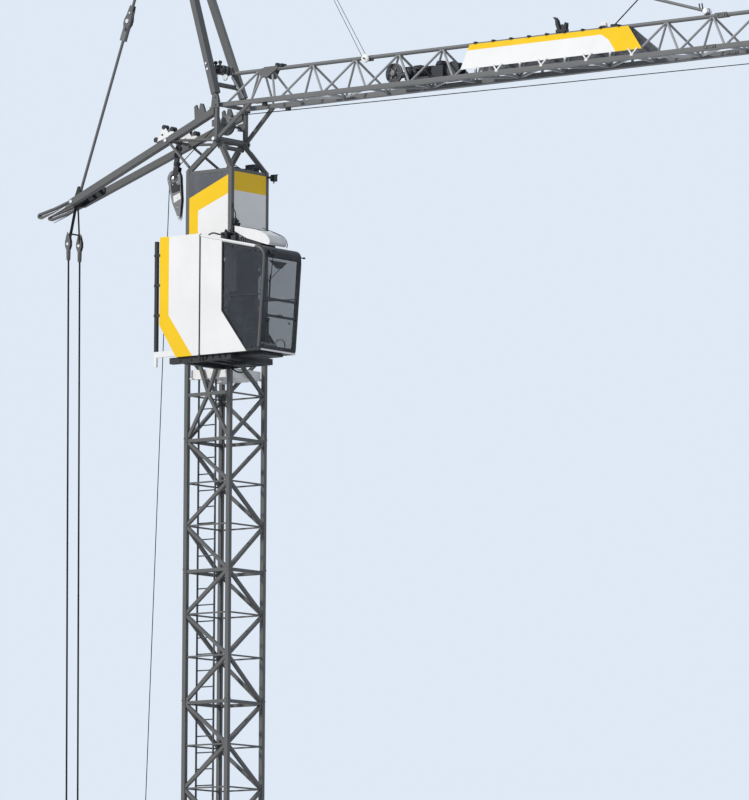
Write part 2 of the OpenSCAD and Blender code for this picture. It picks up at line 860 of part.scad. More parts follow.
module rear_guy_ropes() {
    gap_y = guy_rope_gap / 2;
    fork = [strut_tip.x - 65, gap_y, fork_z];
    anchor = [-platform_rear + beam_w / 2 - tower_x, gap_y, anchor_z];
    start_y = guy_eye_t / 2 + 12;
    color("black") at_tower() difference() {
        mirror_y() {
            flat_bar([strut_tip.x, start_y, strut_tip.z], fork, 50, 20);
            y_rod([strut_tip.x, start_y, strut_tip.z], 120, 20);
            rod(fork + [0, 0, 80], mix(fork, anchor, 0.012), socket_d);
            rod(fork, anchor, guy_rope_d);
            rod(mix(anchor, fork, 0.02), anchor - [0, 0, 40], socket_d);
            spread = mix([strut_tip.x, start_y, strut_tip.z], fork, 0.72);
            y_rod([spread.x, spread.y / 2, spread.z], 30, spread.y);
        }
        y_rod([strut_tip.x, 0, strut_tip.z], 60 + 2 * slip, 400);
        block(anchor + [-100, -500, -200], anchor + [100, 100, 0]);
        block([-2 * strut_back, -guy_eye_t / 2, fork_z + 200], [0, guy_eye_t / 2, strut_tip.z + 100]);
    }
}

// Guide block of the hoist rope behind the tower
guide_c = [-1250, 0, crown_z];
block_foot = [-1125, 0, crown_z - 735];
block_plate = 12;
block_y = 26;

block_r = 155;
waist_r = 112;
waist_c = [mix(guide_c.x, block_foot.x, 0.57), guide_c.z - 420];
foot_r = 24;

// Drop shape in the XZ plane: a disc at a and the tangent flanks down to a small disc at b
module drop_outline(a, ra, b, rb) {
    n = atan2(b[1] - a[1], b[0] - a[0]);
    d = acos((ra - rb) / norm(b - a));
    polygon([a + ra * [cos(n + d), sin(n + d)], b + rb * [cos(n + d), sin(n + d)],
             b + rb * [cos(n - d), sin(n - d)], a + ra * [cos(n - d), sin(n - d)]]);
    translate(a) circle(r = ra);
    translate(b) circle(r = rb);
}

module rope_guide_block() {
    color("darkgray") at_tower() {
        difference() {
            for (y = [-block_y - block_plate, block_y]) union() {
                side_plate(y, y + block_plate) {
                    drop_outline([guide_c.x, guide_c.z], block_r, waist_c, waist_r);
                    drop_outline(waist_c, waist_r, [block_foot.x, block_foot.z], foot_r);
                }
                flat_bar([guide_c.x, y + block_plate / 2, guide_c.z + 60],
                         [block_tube.x, y + block_plate / 2, block_tube.z], 70, block_plate);
                y_rod([block_tube.x, y + block_plate / 2, block_tube.z], 110, block_plate);
            }
            y_rod([block_tube.x, 0, block_tube.z], 60 + 2 * slip, 400);
        }
        for (s = [-1, 1])
            y_rod([guide_c.x, s * (block_y + 1.5 * block_plate), guide_c.z], 80, block_plate);
        y_rod([block_foot.x, 0, block_foot.z], 30, 2 * block_y + 2);
    }
}

module guide_sheave() {
    color("gray") at_tower() sheave(guide_c, guide_sheave_r, groove, 80, 2 * block_y);
}

// Running ropes: winch, guide sheave, head sheave, trolley, hook block, jib end
trolley_r = 120;
trolley_gap = 2 * trolley_r;
rope_drop = 350;
trolley_c1 = [trolley_x - trolley_gap, 0, rail_z - rope_drop - trolley_r];
trolley_c2 = [trolley_x + trolley_gap, 0, rail_z - rope_drop - trolley_r];
hook_c = [trolley_x, 0, rail_z - rope_drop - trolley_r - fall_l];
drum_c = [drum_x - tower_x, 0, winch_z];
rope_end = [jib_end - 70, 0, rail_z - 22];

// Angle of the common tangent of two sheaves, radii positive on the left of the travel
function tangent_angle(c1, a, c2, b) =
    atan2(c2.z - c1.z, c2.x - c1.x) + acos((a - b) / norm([c2.x - c1.x, c2.z - c1.z]));

function on_sheave(c, r, a) = [c.x + r * cos(a), 0, c.z + r * sin(a)];

module rope_run(c1, a, c2, b) {
    n = tangent_angle(c1, a, c2, b);
    rod(on_sheave(c1, a, n), on_sheave(c2, b, n), rope_d);
}

// The bend of the rope on a sheave, a hair short of the straight runs at both ends
module rope_arc(c, r, from, to) {
    trim = asin(slip / r);
    translate(c) rotate([90, 0, 0]) rotate([0, 0, from + trim])
        rotate_extrude(angle = to - from - 2 * trim, $fn = 48)
            translate([r, 0]) circle(d = rope_d, $fn = 24);
}

module running_ropes() {
    n1 = tangent_angle(drum_c, drum_r, guide_c, guide_sheave_r);
    n2 = tangent_angle(guide_c, guide_sheave_r, head_sheave_c, head_sheave_r);
    n3 = tangent_angle(head_sheave_c, head_sheave_r, trolley_c1, trolley_r);
    n4 = tangent_angle(trolley_c1, trolley_r, hook_c, -trolley_r);
    n6 = tangent_angle(trolley_c2, trolley_r, rope_end, 0);
    color("black") at_tower() {
        rope_run(drum_c, drum_r, guide_c, guide_sheave_r);
        rope_arc(guide_c, guide_sheave_r, n2, n1);
        rope_run(guide_c, guide_sheave_r, head_sheave_c, head_sheave_r);
        rope_arc(head_sheave_c, head_sheave_r, n3, n2);
        rope_run(head_sheave_c, head_sheave_r, trolley_c1, trolley_r);
        rope_arc(trolley_c1, trolley_r, n4, n3);
        rope_run(trolley_c1, trolley_r, hook_c, -trolley_r);
        rope_arc(hook_c, trolley_r, 180, 360);
        rope_run(hook_c, -trolley_r, trolley_c2, trolley_r);
        rope_arc(trolley_c2, trolley_r, n6, 180);
        rope_run(trolley_c2, trolley_r, rope_end, 0);
    }
}

// Trolley winch on a bed plate on the floor of the jib
bed_z = rail_z + web_d / 2;
bed_x = [top_node_0 + 2.6 * bay, top_node_0 + 4.56 * bay];
winch_disc = [top_node_0 + 2.92 * bay, -38, rail_z + 262];
winch_disc_d = 370;
gear_x = winch_disc.x + 330;
motor_end = gear_x + 0.65 * bay;
rope_drum = [top_node_0 + 4.3 * bay, 0, rail_z + 203];

module trolley_winch() {
    color("dimgray") at_tower() {
        block([bed_x[0], -150, bed_z], [bed_x[1], 150, bed_z + 12]);
        block([winch_disc.x - 40, winch_disc.y + 14, bed_z],
              [winch_disc.x + 40, winch_disc.y + 54, winch_disc.z + 40]);
        y_rod(winch_disc, winch_disc_d, 28);
        y_rod(winch_disc, 110, 110);
        block([gear_x, -70, bed_z], [motor_end, 70, winch_disc.z - 90]);
        rod([gear_x, 0, winch_disc.z - 40], [motor_end, 0, winch_disc.z - 40], 190);
        rod([winch_disc.x + 30, 0, winch_disc.z - 40], [gear_x, 0, winch_disc.z - 40], 110);
        block([rope_drum.x - 150, -130, bed_z], [rope_drum.x + 150, 130, bed_z + 30]);
        y_rod(rope_drum, 240, 180);
        for (s = [-1, 1]) y_rod(rope_drum + [0, s * 95, 0], 290, 10);
        block([rope_drum.x - 20, -100, bed_z], [rope_drum.x + 20, 100, rope_drum.z]);
    }
}

// Side panels of the jib, parallel to its inclined sides
panel_x = [top_node_0 + 4.65 * bay, top_node_0 + 8.69 * bay];
panel_cut = 0.5 * bay;
panel_offset = 50;
side_tilt = atan2(jib_h, jib_w / 2);
side_l = norm([jib_h, jib_w / 2]);
panel_rise = [120, side_l - 25];
foot_strap = 40;

module jib_side_panels() {
    color("whitesmoke") at_tower() mirror_y() mirror([0, 1, 0]) {
        translate([0, -jib_w / 2, rail_z]) rotate([side_tilt, 0, 0])
            translate([0, 0, panel_offset]) linear_extrude(4)
                polygon([[panel_x[0], panel_rise[0]], [panel_x[1], panel_rise[0]],
                         [panel_x[1] - panel_cut, panel_rise[1]], [panel_x[0], panel_rise[1]]]);
        for (k = [5 : 8])
            block([top_node_0 + k * bay - foot_strap / 2, -rail_out + 35, rail_z + rail_w / 2],
                  [top_node_0 + k * bay + foot_strap / 2, -jib_w / 2 + 24, rail_z + panel_rise[0] + 20]);
    }
}

// Trolley under the jib
trolley_l = 1100;
wheel_y = rail_out + flange_out / 2;
wheel_z = rail_z - rail_w / 2 + wheel_d / 2;
frame_y = rail_out + flange_out + 12;

module trolley() {
    color("dimgray") at_tower() translate([trolley_x, 0, 0]) {
        for (s = [-1, 1]) mirror_y() {
            y_rod([s * 400, wheel_y + 2, wheel_z], wheel_d, 36);
            y_rod([s * 400, frame_y - 10, wheel_z], 40, 60);
        }
        mirror_y() side_plate(frame_y, frame_y + 10)
            polygon([[-trolley_l / 2, wheel_z - 50], [-trolley_l / 2, wheel_z + 50],
                     [trolley_l / 2, wheel_z + 50], [trolley_l / 2, wheel_z - 50],
                     [trolley_gap + 90, rail_z - 560], [-trolley_gap - 90, rail_z - 560]]);
        for (s = [-1, 1])
            bar([s * 480, -frame_y - 5, rail_z - 140], [s * 480, frame_y + 5, rail_z - 140], 60);
    }
    color("gray") at_tower() for (c = [trolley_c1, trolley_c2]) {
        sheave(c, trolley_r, groove, 70, 80);
        y_rod(c, 40, 2 * frame_y + 4);
    }
}

// Hook block
module hook_block() {
    color("gold") at_tower() translate([hook_c.x, 0, hook_c.z]) {
        for (s = [-1, 1]) side_plate(s * 30 - 6, s * 30 + 6)
            polygon([[-150, 60], [-80, 150], [80, 150], [150, 60], [120, -180], [40, -260],
                     [-40, -260], [-120, -180]]);
        block([-60, -36, -300], [60, 36, -200]);
    }
    color("gray") at_tower() {
        sheave(hook_c, trolley_r, groove, 60, 60);
        translate(hook_c) {
            rod([0, 0, -420], [0, 0, -290], 44);
            translate([0, 0, -500]) rotate([90, 0, 0]) rotate([0, 0, 90]) rotate([0, 0, -15])
                rotate_extrude(angle = 270, $fn = 48) translate([85, 0]) circle(d = 46, $fn = 24);
        }
    }
}

// Cab
far_y = -outer_half - cab_gap;
near_y = far_y - cab_w;
mid_y = (near_y + far_y) / 2;
cab_front = cab_x + cab_l;
shoulder_x = cab_front - 54;
header_z = cab_z + cab_h_front - 220;
corner_r = 150;
deck_t = 60;
support_y = -outer_half - 60;
sill_x = -190;
panel_rear = cab_x - balcony_l;
panel_foot_x = panel_rear + 400;

// The windscreen leans forward and the roof falls to the front
lean_rate = cab_lean / (header_z - cab_z);
roof_fall = (cab_h_back - cab_h_front) / (shoulder_x - cab_x);
function front_x(z) = cab_front + lean_rate * (z - cab_z);
function roof_z(x) = cab_z + cab_h_back - roof_fall * (x - cab_x);

// Where the roof line, lowered by down, meets the front line, moved back by back
function front_corner(down, back) =
    let (x = (cab_front - back + lean_rate * (cab_h_back - down + roof_fall * cab_x))
             / (1 + lean_rate * roof_fall))
    [x, roof_z(x) - down];

// Points of an arc of radius r that rounds the corner p between a and b
function rounded(a, p, b, r, steps = 6) =
    let (u = (a - p) / norm(a - p), v = (b - p) / norm(b - p), turn = acos(u * v),
         c = p + (u + v) / norm(u + v) * r / sin(turn / 2),
         from = p + u * r / tan(turn / 2) - c, to = p + v * r / tan(turn / 2) - c)
    [for (i = [0 : steps])
        let (w = from * (steps - i) + to * i) c + w * r / norm(w)];

// Side view of the cab with the roof line lowered and the front line moved back
module cab_outline(down = 0, back = 0) {
    low = [cab_front - back, cab_z];
    rear = [cab_x, roof_z(cab_x) - down];
    polygon(concat([[cab_x, cab_z], low],
                   rounded(low, front_corner(down, back), rear, corner_r - max(down, back)), [rear]));
}

// Outline of the side windows: upright rear edge, slanted lower edge, round front corner
win_x = cab_x + window_back;
win_knee = cab_z + window_knee;
win_low_x = win_x + window_run;
win_foot = cab_z + 40;
seal_w = 20;
head_w = 20;
slant = window_run / (win_knee - win_foot);

module window_outline() {
    low = [front_x(win_foot) - pillar_w, win_foot];
    top = [win_x, roof_z(win_x) - roof_t - head_w];
    polygon(concat([[win_x, win_knee], [win_low_x, win_foot], low],
                   rounded(low, front_corner(roof_t + head_w, pillar_w), top, corner_r - pillar_w),
                   [top]));
}

// The closed rear part of a cab side, up to the seal of the window
module closed_side() {
    intersection() {
        cab_outline(roof_t + fit);
        polygon([[cab_x, cab_z], [win_x - seal_w + slant * window_knee, cab_z],
                 [win_x - seal_w, win_knee], [win_x - seal_w, cab_z + cab_h_back],
                 [cab_x, cab_z + cab_h_back]]);
    }
}

module cab_side_walls() {
    color("whitesmoke") at_tower() for (y = [near_y, far_y - wall_t])
        side_plate(y, y + wall_t) closed_side();
}

// Flat part of the roof; the frame of the windscreen takes over at roof_end
roof_end = shoulder_x - 2 * roof_t;

module cab_roof() {
    color("whitesmoke") at_tower() side_plate(near_y, far_y)
        polygon([[cab_x, roof_z(cab_x) - roof_t], [roof_end, roof_z(roof_end) - roof_t],
                 [roof_end, roof_z(roof_end)], [cab_x, roof_z(cab_x)]]);
}

// Back wall with the closed door to the balcony
door_w = 640;
door_h = cab_h_back - 300;
door_y = mid_y - door_w / 2;
door_frame = 120;

module door_pane() {
    square_l = door_w - 2 * door_frame;
    block([cab_x - 1, door_y + door_frame, win_knee],
          [cab_x + wall_t + 1, door_y + door_frame + square_l, cab_z + deck_t + door_h - door_frame]);
}

module cab_back_wall() {
    color("whitesmoke") at_tower() difference() {
        side_plate(near_y + wall_t, far_y - wall_t)
            polygon([[cab_x, cab_z + deck_t], [cab_x + wall_t, cab_z + deck_t],
                     [cab_x + wall_t, roof_z(cab_x + wall_t) - roof_t],
                     [cab_x, roof_z(cab_x) - roof_t]]);
        block([cab_x - 1, door_y, cab_z + deck_t - 1],
              [cab_x + wall_t + 1, door_y + door_w, cab_z + deck_t + door_h]);
    }
}

module cab_door() {
    color("white") at_tower() difference() {
        block([cab_x + 5, door_y, cab_z + deck_t],
              [cab_x + wall_t - 5, door_y + door_w, cab_z + deck_t + door_h]);
        door_pane();
    }
}

module cab_deck() {
    color("gray") at_tower() {
        block([cab_x, near_y + wall_t, cab_z], [cab_front, far_y - wall_t, cab_z + deck_t]);
        block([panel_foot_x, near_y + wall_t, cab_z], [cab_x, support_y, cab_z + deck_t]);
    }
}

// Dark frame of the windows: side frames, the rounded header over the windscreen
// and the bars across the front
bar_z = [cab_z + 640, cab_z + 940];
screen_bar = 40;
pane_y = [near_y + wall_t + fit, far_y - wall_t - fit];

// The strip that the flat roof covers, seen from the side
module under_roof() {
    x = [cab_x - 1, roof_end + fit];
    polygon([[x[0], roof_z(x[0]) - roof_t - fit], [x[1], roof_z(x[1]) - roof_t - fit],
             [x[1], cab_z + 2 * cab_h_back], [x[0], cab_z + 2 * cab_h_back]]);
}

module cab_front_frame() {
    color("dimgray") at_tower() {
        for (y = [near_y, far_y - wall_t]) side_plate(y, y + wall_t) difference() {
            cab_outline();
            under_roof();
            closed_side();
            window_outline();
        }
        side_plate(pane_y[0], pane_y[1]) difference() {
            cab_outline();
            cab_outline(roof_t, roof_t);
            translate([cab_x, cab_z]) square([2 * cab_l, header_z - cab_z]);
            translate([cab_x - 1, cab_z]) square([roof_end + fit - cab_x + 1, 2 * cab_h_back]);
        }
        for (z = concat([cab_z + deck_t + screen_bar / 2], bar_z))
            block([front_x(z) - glass_t - screen_bar - 4, pane_y[0], z - screen_bar / 2],
                  [front_x(z) - glass_t - 4, pane_y[1], z + screen_bar / 2]);
    }
}

module cab_glazing() {
    low_z = cab_z + deck_t;
    color("lightblue") at_tower() {
        for (y = [near_y + wall_t / 2, far_y - wall_t / 2])
            side_plate(y - glass_t / 2, y + glass_t / 2) window_outline();
        side_plate(near_y + wall_t, far_y - wall_t)
            polygon([[front_x(low_z), low_z], [front_x(header_z), header_z],
                     [front_x(header_z) - glass_t, header_z], [front_x(low_z) - glass_t, low_z]]);
        intersection() {
            door_pane();
            block([cab_x + (wall_t - glass_t) / 2, near_y, cab_z],
                  [cab_x + (wall_t + glass_t) / 2, far_y, cab_z + cab_h_back]);
        }
    }
}

// Frame under the cab, carried by the near side of the tower
support_h = 110;
support_x = [panel_foot_x - 200, cab_x + 690];
support_w = 120;

module cab_support() {
    z = cab_z - support_h;
    color("dimgray") at_tower() {
        block([panel_foot_x + 10, support_y, z], [support_x[1], -outer_half, cab_z]);
        block([support_x[0], near_y + 60, z], [support_x[1], near_y + 60 + support_w, cab_z]);
        for (x = [panel_foot_x + 10, cab_x + 30, cab_x + 360, support_x[1] - support_w])
            block([x, near_y + 60, z], [x + support_w, support_y, cab_z]);
    }
}

// Operator's seat with a control box on each side
seat_x = cab_x + 640;
seat_w = 480;
console_y = 310;

module cab_seat() {
    floor_z = cab_z + deck_t;
    cushion_z = [floor_z + 260 + fit, floor_z + 400];
    back_z = [cushion_z[1] + fit, floor_z + 1150];
    color("black") at_tower() {
        block([seat_x - 160, mid_y - 180, floor_z], [seat_x + 160, mid_y + 180, floor_z + 260]);
        block([seat_x - 240, mid_y - seat_w / 2, cushion_z[0]],
              [seat_x + 260, mid_y + seat_w / 2, cushion_z[1]]);
        side_plate(mid_y - 220, mid_y + 220)
            polygon([[seat_x - 240, back_z[0]], [seat_x - 130, back_z[0]],
                     [seat_x - 200, back_z[1]], [seat_x - 310, back_z[1]]]);
        for (s = [-1, 1])
            block([seat_x - 200, mid_y + s * console_y - 60, floor_z],
                  [seat_x + 280, mid_y + s * console_y + 60, floor_z + 640]);
    }
}

// Air unit on the cab roof: a dark base and a flat hood that comes down to the front
unit_x = [cab_x + 420, roof_end - 10];
unit_y = [mid_y - 40, mid_y + 450];
base_x = [cab_x + 640, roof_end - 240];
base_lift = 110;
nose_lift = 30;
function hood_z(x) = roof_z(x) + mix(base_lift, nose_lift, (x - unit_x[0]) / (unit_x[1] - unit_x[0]));

module roof_unit_base() {
    color("dimgray") at_tower() side_plate(unit_y[0] + 40, unit_y[1] - 40)
        polygon([[base_x[0], roof_z(base_x[0]) + fit], [base_x[1], roof_z(base_x[1]) + fit],
                 [base_x[1], hood_z(base_x[1])], [base_x[0], hood_z(base_x[0])]]);
}

module roof_unit() {
    hood_l = unit_x[1] - unit_x[0];
    function under(t) = [unit_x[0] + t * hood_l, hood_z(unit_x[0] + t * hood_l) + fit];
    color("white") at_tower() side_plate(unit_y[0], unit_y[1])
        polygon([under(0) + [0, 60], under(0.36), under(0.94), under(0.985) + [0, 25],
                 under(1) + [0, 70], under(0.975) + [0, 125], under(0.9) + [0, 175],
                 under(0.78) + [0, 200], under(0.6) + [0, 210], under(0) + [0, 160]]);
}

// Balcony behind the cab: the side panel, a sill at its foot and a guard post
guard_w = 60;
sill_z = cab_z + 22;
sill_h = 105;

module balcony_outline() {
    polygon([[panel_foot_x, cab_z], [cab_x, cab_z], [cab_x, cab_z + cab_h_back + 20],
             [panel_rear, cab_z + cab_h_back + 20], [panel_rear, cab_z + 615]]);
}

module balcony_panel() {
    color("gold") at_tower() side_plate(near_y, near_y + wall_t) balcony_outline();
}

module balcony_sill() {
    color("white") at_tower() {
        side_plate(near_y, near_y + wall_t) difference() {
            translate([sill_x - guard_w / 2, sill_z]) square([panel_foot_x - sill_x + guard_w, sill_h]);
            balcony_outline();
        }
        block([sill_x - guard_w / 2, near_y, cab_z - 150], [sill_x + guard_w / 2, near_y + wall_t, sill_z]);
    }
}

module balcony_railing() {
    color("dimgray") at_tower() {
        block([sill_x - guard_w / 2, near_y, sill_z + sill_h],
              [sill_x + guard_w / 2, near_y + guard_w, cab_z + cab_h_back - 50]);
        for (share = [0.36, 0.61, 0.86]) {
            z = cab_z + share * cab_h_back;
            block([sill_x, near_y + 10, z - 20], [panel_rear, near_y + 30, z + 20]);
        }
    }
}

chassis();
outrigger_arms();
outrigger_jacks();
slewing_ring_fixed();
slewing_ring_turning();
platform_frame();
ballast_slabs();
hoist_winch();
hoist_drum();
switch_cabinet();
tower_near_side();
tower_far_side();
tower_front_bracing();
tower_rear_bracing();
tower_ladder();
landing_platform();
cladding_panels();
tower_head();
head_sheave();
jib_root_frame();
jib_top_chord();
jib_lower_chords();
jib_near_lattice();
jib_far_lattice();
jib_floor_lattice();
mast_frame();
rear_strut();
jib_guys();
rear_guy();
rear_guy_ropes();
rope_guide_block();
guide_sheave();
running_ropes();
trolley_winch();
jib_side_panels();
trolley();
hook_block();
cab_support();
cab_deck();
cab_side_walls();
cab_back_wall();
cab_door();
cab_front_frame();
cab_roof();
cab_glazing();
cab_seat();
roof_unit_base();
roof_unit();
balcony_panel();
balcony_sill();
balcony_railing();
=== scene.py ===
import json
import math

import bmesh
import bpy
from mathutils import Matrix, Vector


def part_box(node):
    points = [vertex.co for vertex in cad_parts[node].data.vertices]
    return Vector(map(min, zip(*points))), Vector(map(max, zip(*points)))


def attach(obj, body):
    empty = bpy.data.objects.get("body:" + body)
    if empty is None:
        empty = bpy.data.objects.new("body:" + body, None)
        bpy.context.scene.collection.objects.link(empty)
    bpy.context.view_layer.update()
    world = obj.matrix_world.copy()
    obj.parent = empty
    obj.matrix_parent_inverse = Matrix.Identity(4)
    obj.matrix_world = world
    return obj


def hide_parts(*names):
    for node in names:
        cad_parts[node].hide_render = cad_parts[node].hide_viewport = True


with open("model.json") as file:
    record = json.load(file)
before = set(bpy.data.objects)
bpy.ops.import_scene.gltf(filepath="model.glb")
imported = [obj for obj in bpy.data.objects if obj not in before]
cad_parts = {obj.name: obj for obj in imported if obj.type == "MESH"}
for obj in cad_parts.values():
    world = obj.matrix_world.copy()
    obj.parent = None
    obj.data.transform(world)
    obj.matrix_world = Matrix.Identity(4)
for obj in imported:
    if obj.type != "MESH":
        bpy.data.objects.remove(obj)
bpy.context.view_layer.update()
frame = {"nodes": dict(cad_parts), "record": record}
nodes = frame["nodes"]

# Origins of the CAD frame and of the tower frame: the tower's axis, at the section joint below the cab
TOWER_X = 0.9
REF_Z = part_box("tower_far_side")[1].z - 4.97
TOWER = (TOWER_X, 0.0, REF_Z)
GROUND = (0.0, 0.0, 0.0)

# Key sizes and places in the tower frame, in metres
SECTION = 2.4
HALF = 0.5
CAB_Z = 1.36
CAB_X = 0.85
CAB_NEAR, CAB_FAR = -1.80, -0.78
CAB_MID = (CAB_NEAR + CAB_FAR) / 2
CAB_FLOOR = CAB_Z + 0.06
SEAT_X = 1.49
ROOF_FALL = 0.3 / 1.35
LEAN = 0.126 / 1.68
PIVOT_Z = 5.54
RAIL_Z = PIVOT_Z + 0.64
JIB_HIGH, JIB_HALF = 0.618, 0.34
TOP_Z = RAIL_Z + JIB_HIGH
FIRST_NODE = 0.998
JIB_END = FIRST_NODE + 28
MAST_TOP = Vector((-1.405, 0, RAIL_Z + 4.31))
STRUT_ROOT = Vector((0.045, 0.415, RAIL_Z - 0.09))
STRUT_TIP = Vector((-3.62, 0.15, RAIL_Z - 1.48))
GUY_TOP = Vector((MAST_TOP.x + 0.13, 0, MAST_TOP.z + 0.01))
GUY_END = Vector((10.87, 0, TOP_Z + 0.098))

SEAT = (TOWER_X + SEAT_X, CAB_MID, REF_Z + CAB_FLOOR)
SIDES = (-1, 1)
CORNERS = tuple((sx, sy) for sx in SIDES for sy in SIDES)
CAB_SIDES = ((CAB_NEAR, -1), (CAB_FAR, 1))
X_AXIS, Y_AXIS, Z_AXIS = Vector((1, 0, 0)), Vector((0, 1, 0)), Vector((0, 0, 1))


def at(x, y, z):
    """A place of the tower frame in the CAD frame."""
    return Vector((x + TOWER_X, y, z + REF_Z))


def side_view(y, places):
    """Places of one upright plane along the jib, from pairs of x and z."""
    return [(x, y, z) for x, z in places]


def round_spots(count, r, start=0):
    """Pairs of offsets evenly round a circle, from a start angle in degrees."""
    turns = [math.radians(360 / count * i + start) for i in range(count)]
    return [(r * math.cos(turn), r * math.sin(turn)) for turn in turns]


def roof_z(x):
    return CAB_Z + 2.2 - ROOF_FALL * (x - CAB_X)


def front_x(z):
    return 2.254 + LEAN * (z - CAB_Z)


def on_guy(x):
    """The place on the jib guy above x."""
    return GUY_TOP + (GUY_END - GUY_TOP) * ((x - GUY_TOP.x) / (GUY_END.x - GUY_TOP.x))


# Camera at the photo's viewing angle
def add_camera():
    data = bpy.data.cameras.new("photo_camera")
    cam = bpy.data.objects.new("photo_camera", data)
    bpy.context.scene.collection.objects.link(cam)
    right = Vector((0.78483774, 0.61967765, 0.00541634))
    up = Vector((0.06805005, -0.09486794, 0.99316125))
    place = at(92.34594, -112.41568, -16.29519)
    columns = Matrix((right, up, right.cross(up))).transposed()
    cam.matrix_world = Matrix.Translation(place) @ columns.to_4x4()
    data.sensor_width = 36.0
    data.sensor_fit = "AUTO"
    data.lens = 360.0
    data.clip_start, data.clip_end = 5.0, 600.0
    bpy.context.scene.camera = cam


add_camera()


# Materials
class Tree:
    """Makes and joins the nodes of one node tree."""

    def __init__(self, tree):
        self.tree = tree

    def feed(self, socket, value):
        """Links a socket to another node's output, or sets it to a constant."""
        if isinstance(value, bpy.types.NodeSocket):
            self.tree.links.new(value, socket)
        elif socket.type == "RGBA":
            socket.default_value = (*value, 1)
        else:
            socket.default_value = value

    def node(self, kind, feeds=(), **props):
        n = self.tree.nodes.new(kind)
        for key, value in props.items():
            setattr(n, key, value)
        for key, value in feeds:
            self.feed(n.inputs[key], value)
        return n

    def math(self, op, *values):
        return self.node("ShaderNodeMath", enumerate(values), operation=op).outputs[0]


class Shade(Tree):
    """One material: a principled shader and the textures that feed it."""

    def __init__(self, name, metallic, roughness, **sockets):
        self.mat = bpy.data.materials.new(name)
        self.mat.use_nodes = True
        super().__init__(self.mat.node_tree)
        self.bsdf = self.tree.nodes["Principled BSDF"]
        self.put(Metallic=metallic, Roughness=roughness, **sockets)
        self.coord = self.node("ShaderNodeTexCoord").outputs["Object"]

    def put(self, **sockets):
        """Feeds the shader's own sockets, named with _ for a space."""
        for key, value in sockets.items():
            self.feed(self.bsdf.inputs[key.replace("_", " ")], value)

    def axes(self):
        return self.node("ShaderNodeSeparateXYZ", [(0, self.coord)]).outputs

    def noise(self, scale, detail=4.0, rough=0.6, stretch=(1, 1, 1)):
        place = self.node("ShaderNodeMapping", [("Scale", stretch), ("Vector", self.coord)]).outputs[0]
        return self.node("ShaderNodeTexNoise", [("Scale", scale), ("Detail", detail), ("Roughness", rough),
                                                ("Vector", place)]).outputs["Fac"]

    def ramp(self, fac, stops):
        r = self.node("ShaderNodeValToRGB", [("Fac", fac)])
        elements = r.color_ramp.elements
        while len(elements) < len(stops):
            elements.new(0.5)
        for e, (pos, col) in zip(elements, stops):
            e.position = pos
            e.color = (*col, 1)
        return r.outputs["Color"]

    def mix(self, fac, a, b, blend="MIX"):
        feeds = ((0, fac), (6, a), (7, b))
        return self.node("ShaderNodeMix", feeds, data_type="RGBA", blend_type=blend).outputs[2]

    def range(self, value, a0, a1, b0=0.0, b1=1.0):
        return self.node("ShaderNodeMapRange", [("Value", value), ("From Min", a0), ("From Max", a1),
                                                ("To Min", b0), ("To Max", b1)]).outputs["Result"]

    def beside(self, p, q):
        """1 on the left of the line from p to q, drawn in the XZ plane of the tower frame."""
        x, _, z = self.axes()
        run = Vector((q[0] - p[0], q[1] - p[1])).normalized()
        across = self.math("MULTIPLY", self.math("SUBTRACT", z, p[1] + REF_Z), run.x)
        along = self.math("MULTIPLY", self.math("SUBTRACT", x, p[0] + TOWER_X), run.y)
        return self.range(self.math("SUBTRACT", across, along), -0.001, 0.001)

    def inner_side(self):
        """1 on faces that look across the middle plane, the unpainted insides of side panels."""
        normal = self.node("ShaderNodeNewGeometry").outputs["Normal"]
        facing = self.node("ShaderNodeSeparateXYZ", [(0, normal)]).outputs[1]
        return self.range(self.math("MULTIPLY", facing, self.axes()[1]), -0.002, 0.0, 1.0, 0.0)

    def bump(self, height, strength, distance):
        feeds = (("Strength", strength), ("Distance", distance), ("Height", height))
        self.put(Normal=self.node("ShaderNodeBump", feeds).outputs["Normal"])


def tone(colour, factor):
    return tuple(c * factor for c in colour)


def paint(name, colour, rough, dirt, dirt_colour, coat=0.1, zones=None):
    """Machine paint: slight colour drift, run-down dirt, dulled patches and orange peel."""
    s = Shade(name, 0.0, rough, Coat_Weight=coat, Coat_Roughness=0.25, Specular_IOR_Level=0.22)
    base = colour
    if zones:
        for mask, zone_colour in zones(s):
            base = s.mix(mask, base, zone_colour)
    drift = s.ramp(s.noise(0.9, 3), [(0.3, (0.92, 0.92, 0.92)), (0.7, (1, 1, 1))])
    base = s.mix(1.0, base, drift, "MULTIPLY")
    streaks = s.range(s.noise(6.0, 6, 0.65, (1, 1, 0.12)), 0.52, 0.78)
    specks = s.range(s.noise(60, 3, 0.7), 0.62, 0.8)
    for mask, share in ((streaks, dirt), (specks, dirt * 0.7)):
        base = s.mix(s.math("MULTIPLY", mask, share), base, dirt_colour)
    s.put(Base_Color=base, Roughness=s.range(s.noise(4, 5), 0.3, 0.7, rough - 0.08, rough + 0.14))
    s.bump(s.noise(240, 2), 0.12, 0.001)
    return s.mat


def steel(name, colour, rough, metallic):
    """Bare metal with cloudy tone and uneven polish."""
    s = Shade(name, metallic, rough)
    s.put(Base_Color=s.ramp(s.noise(14, 5, 0.6), [(0.3, tone(colour, 0.75)), (0.7, tone(colour, 1.1))]),
          Roughness=s.range(s.noise(35, 4), 0.3, 0.7, rough - 0.1, rough + 0.15))
    s.bump(s.noise(160, 3), 0.15, 0.001)
    return s.mat


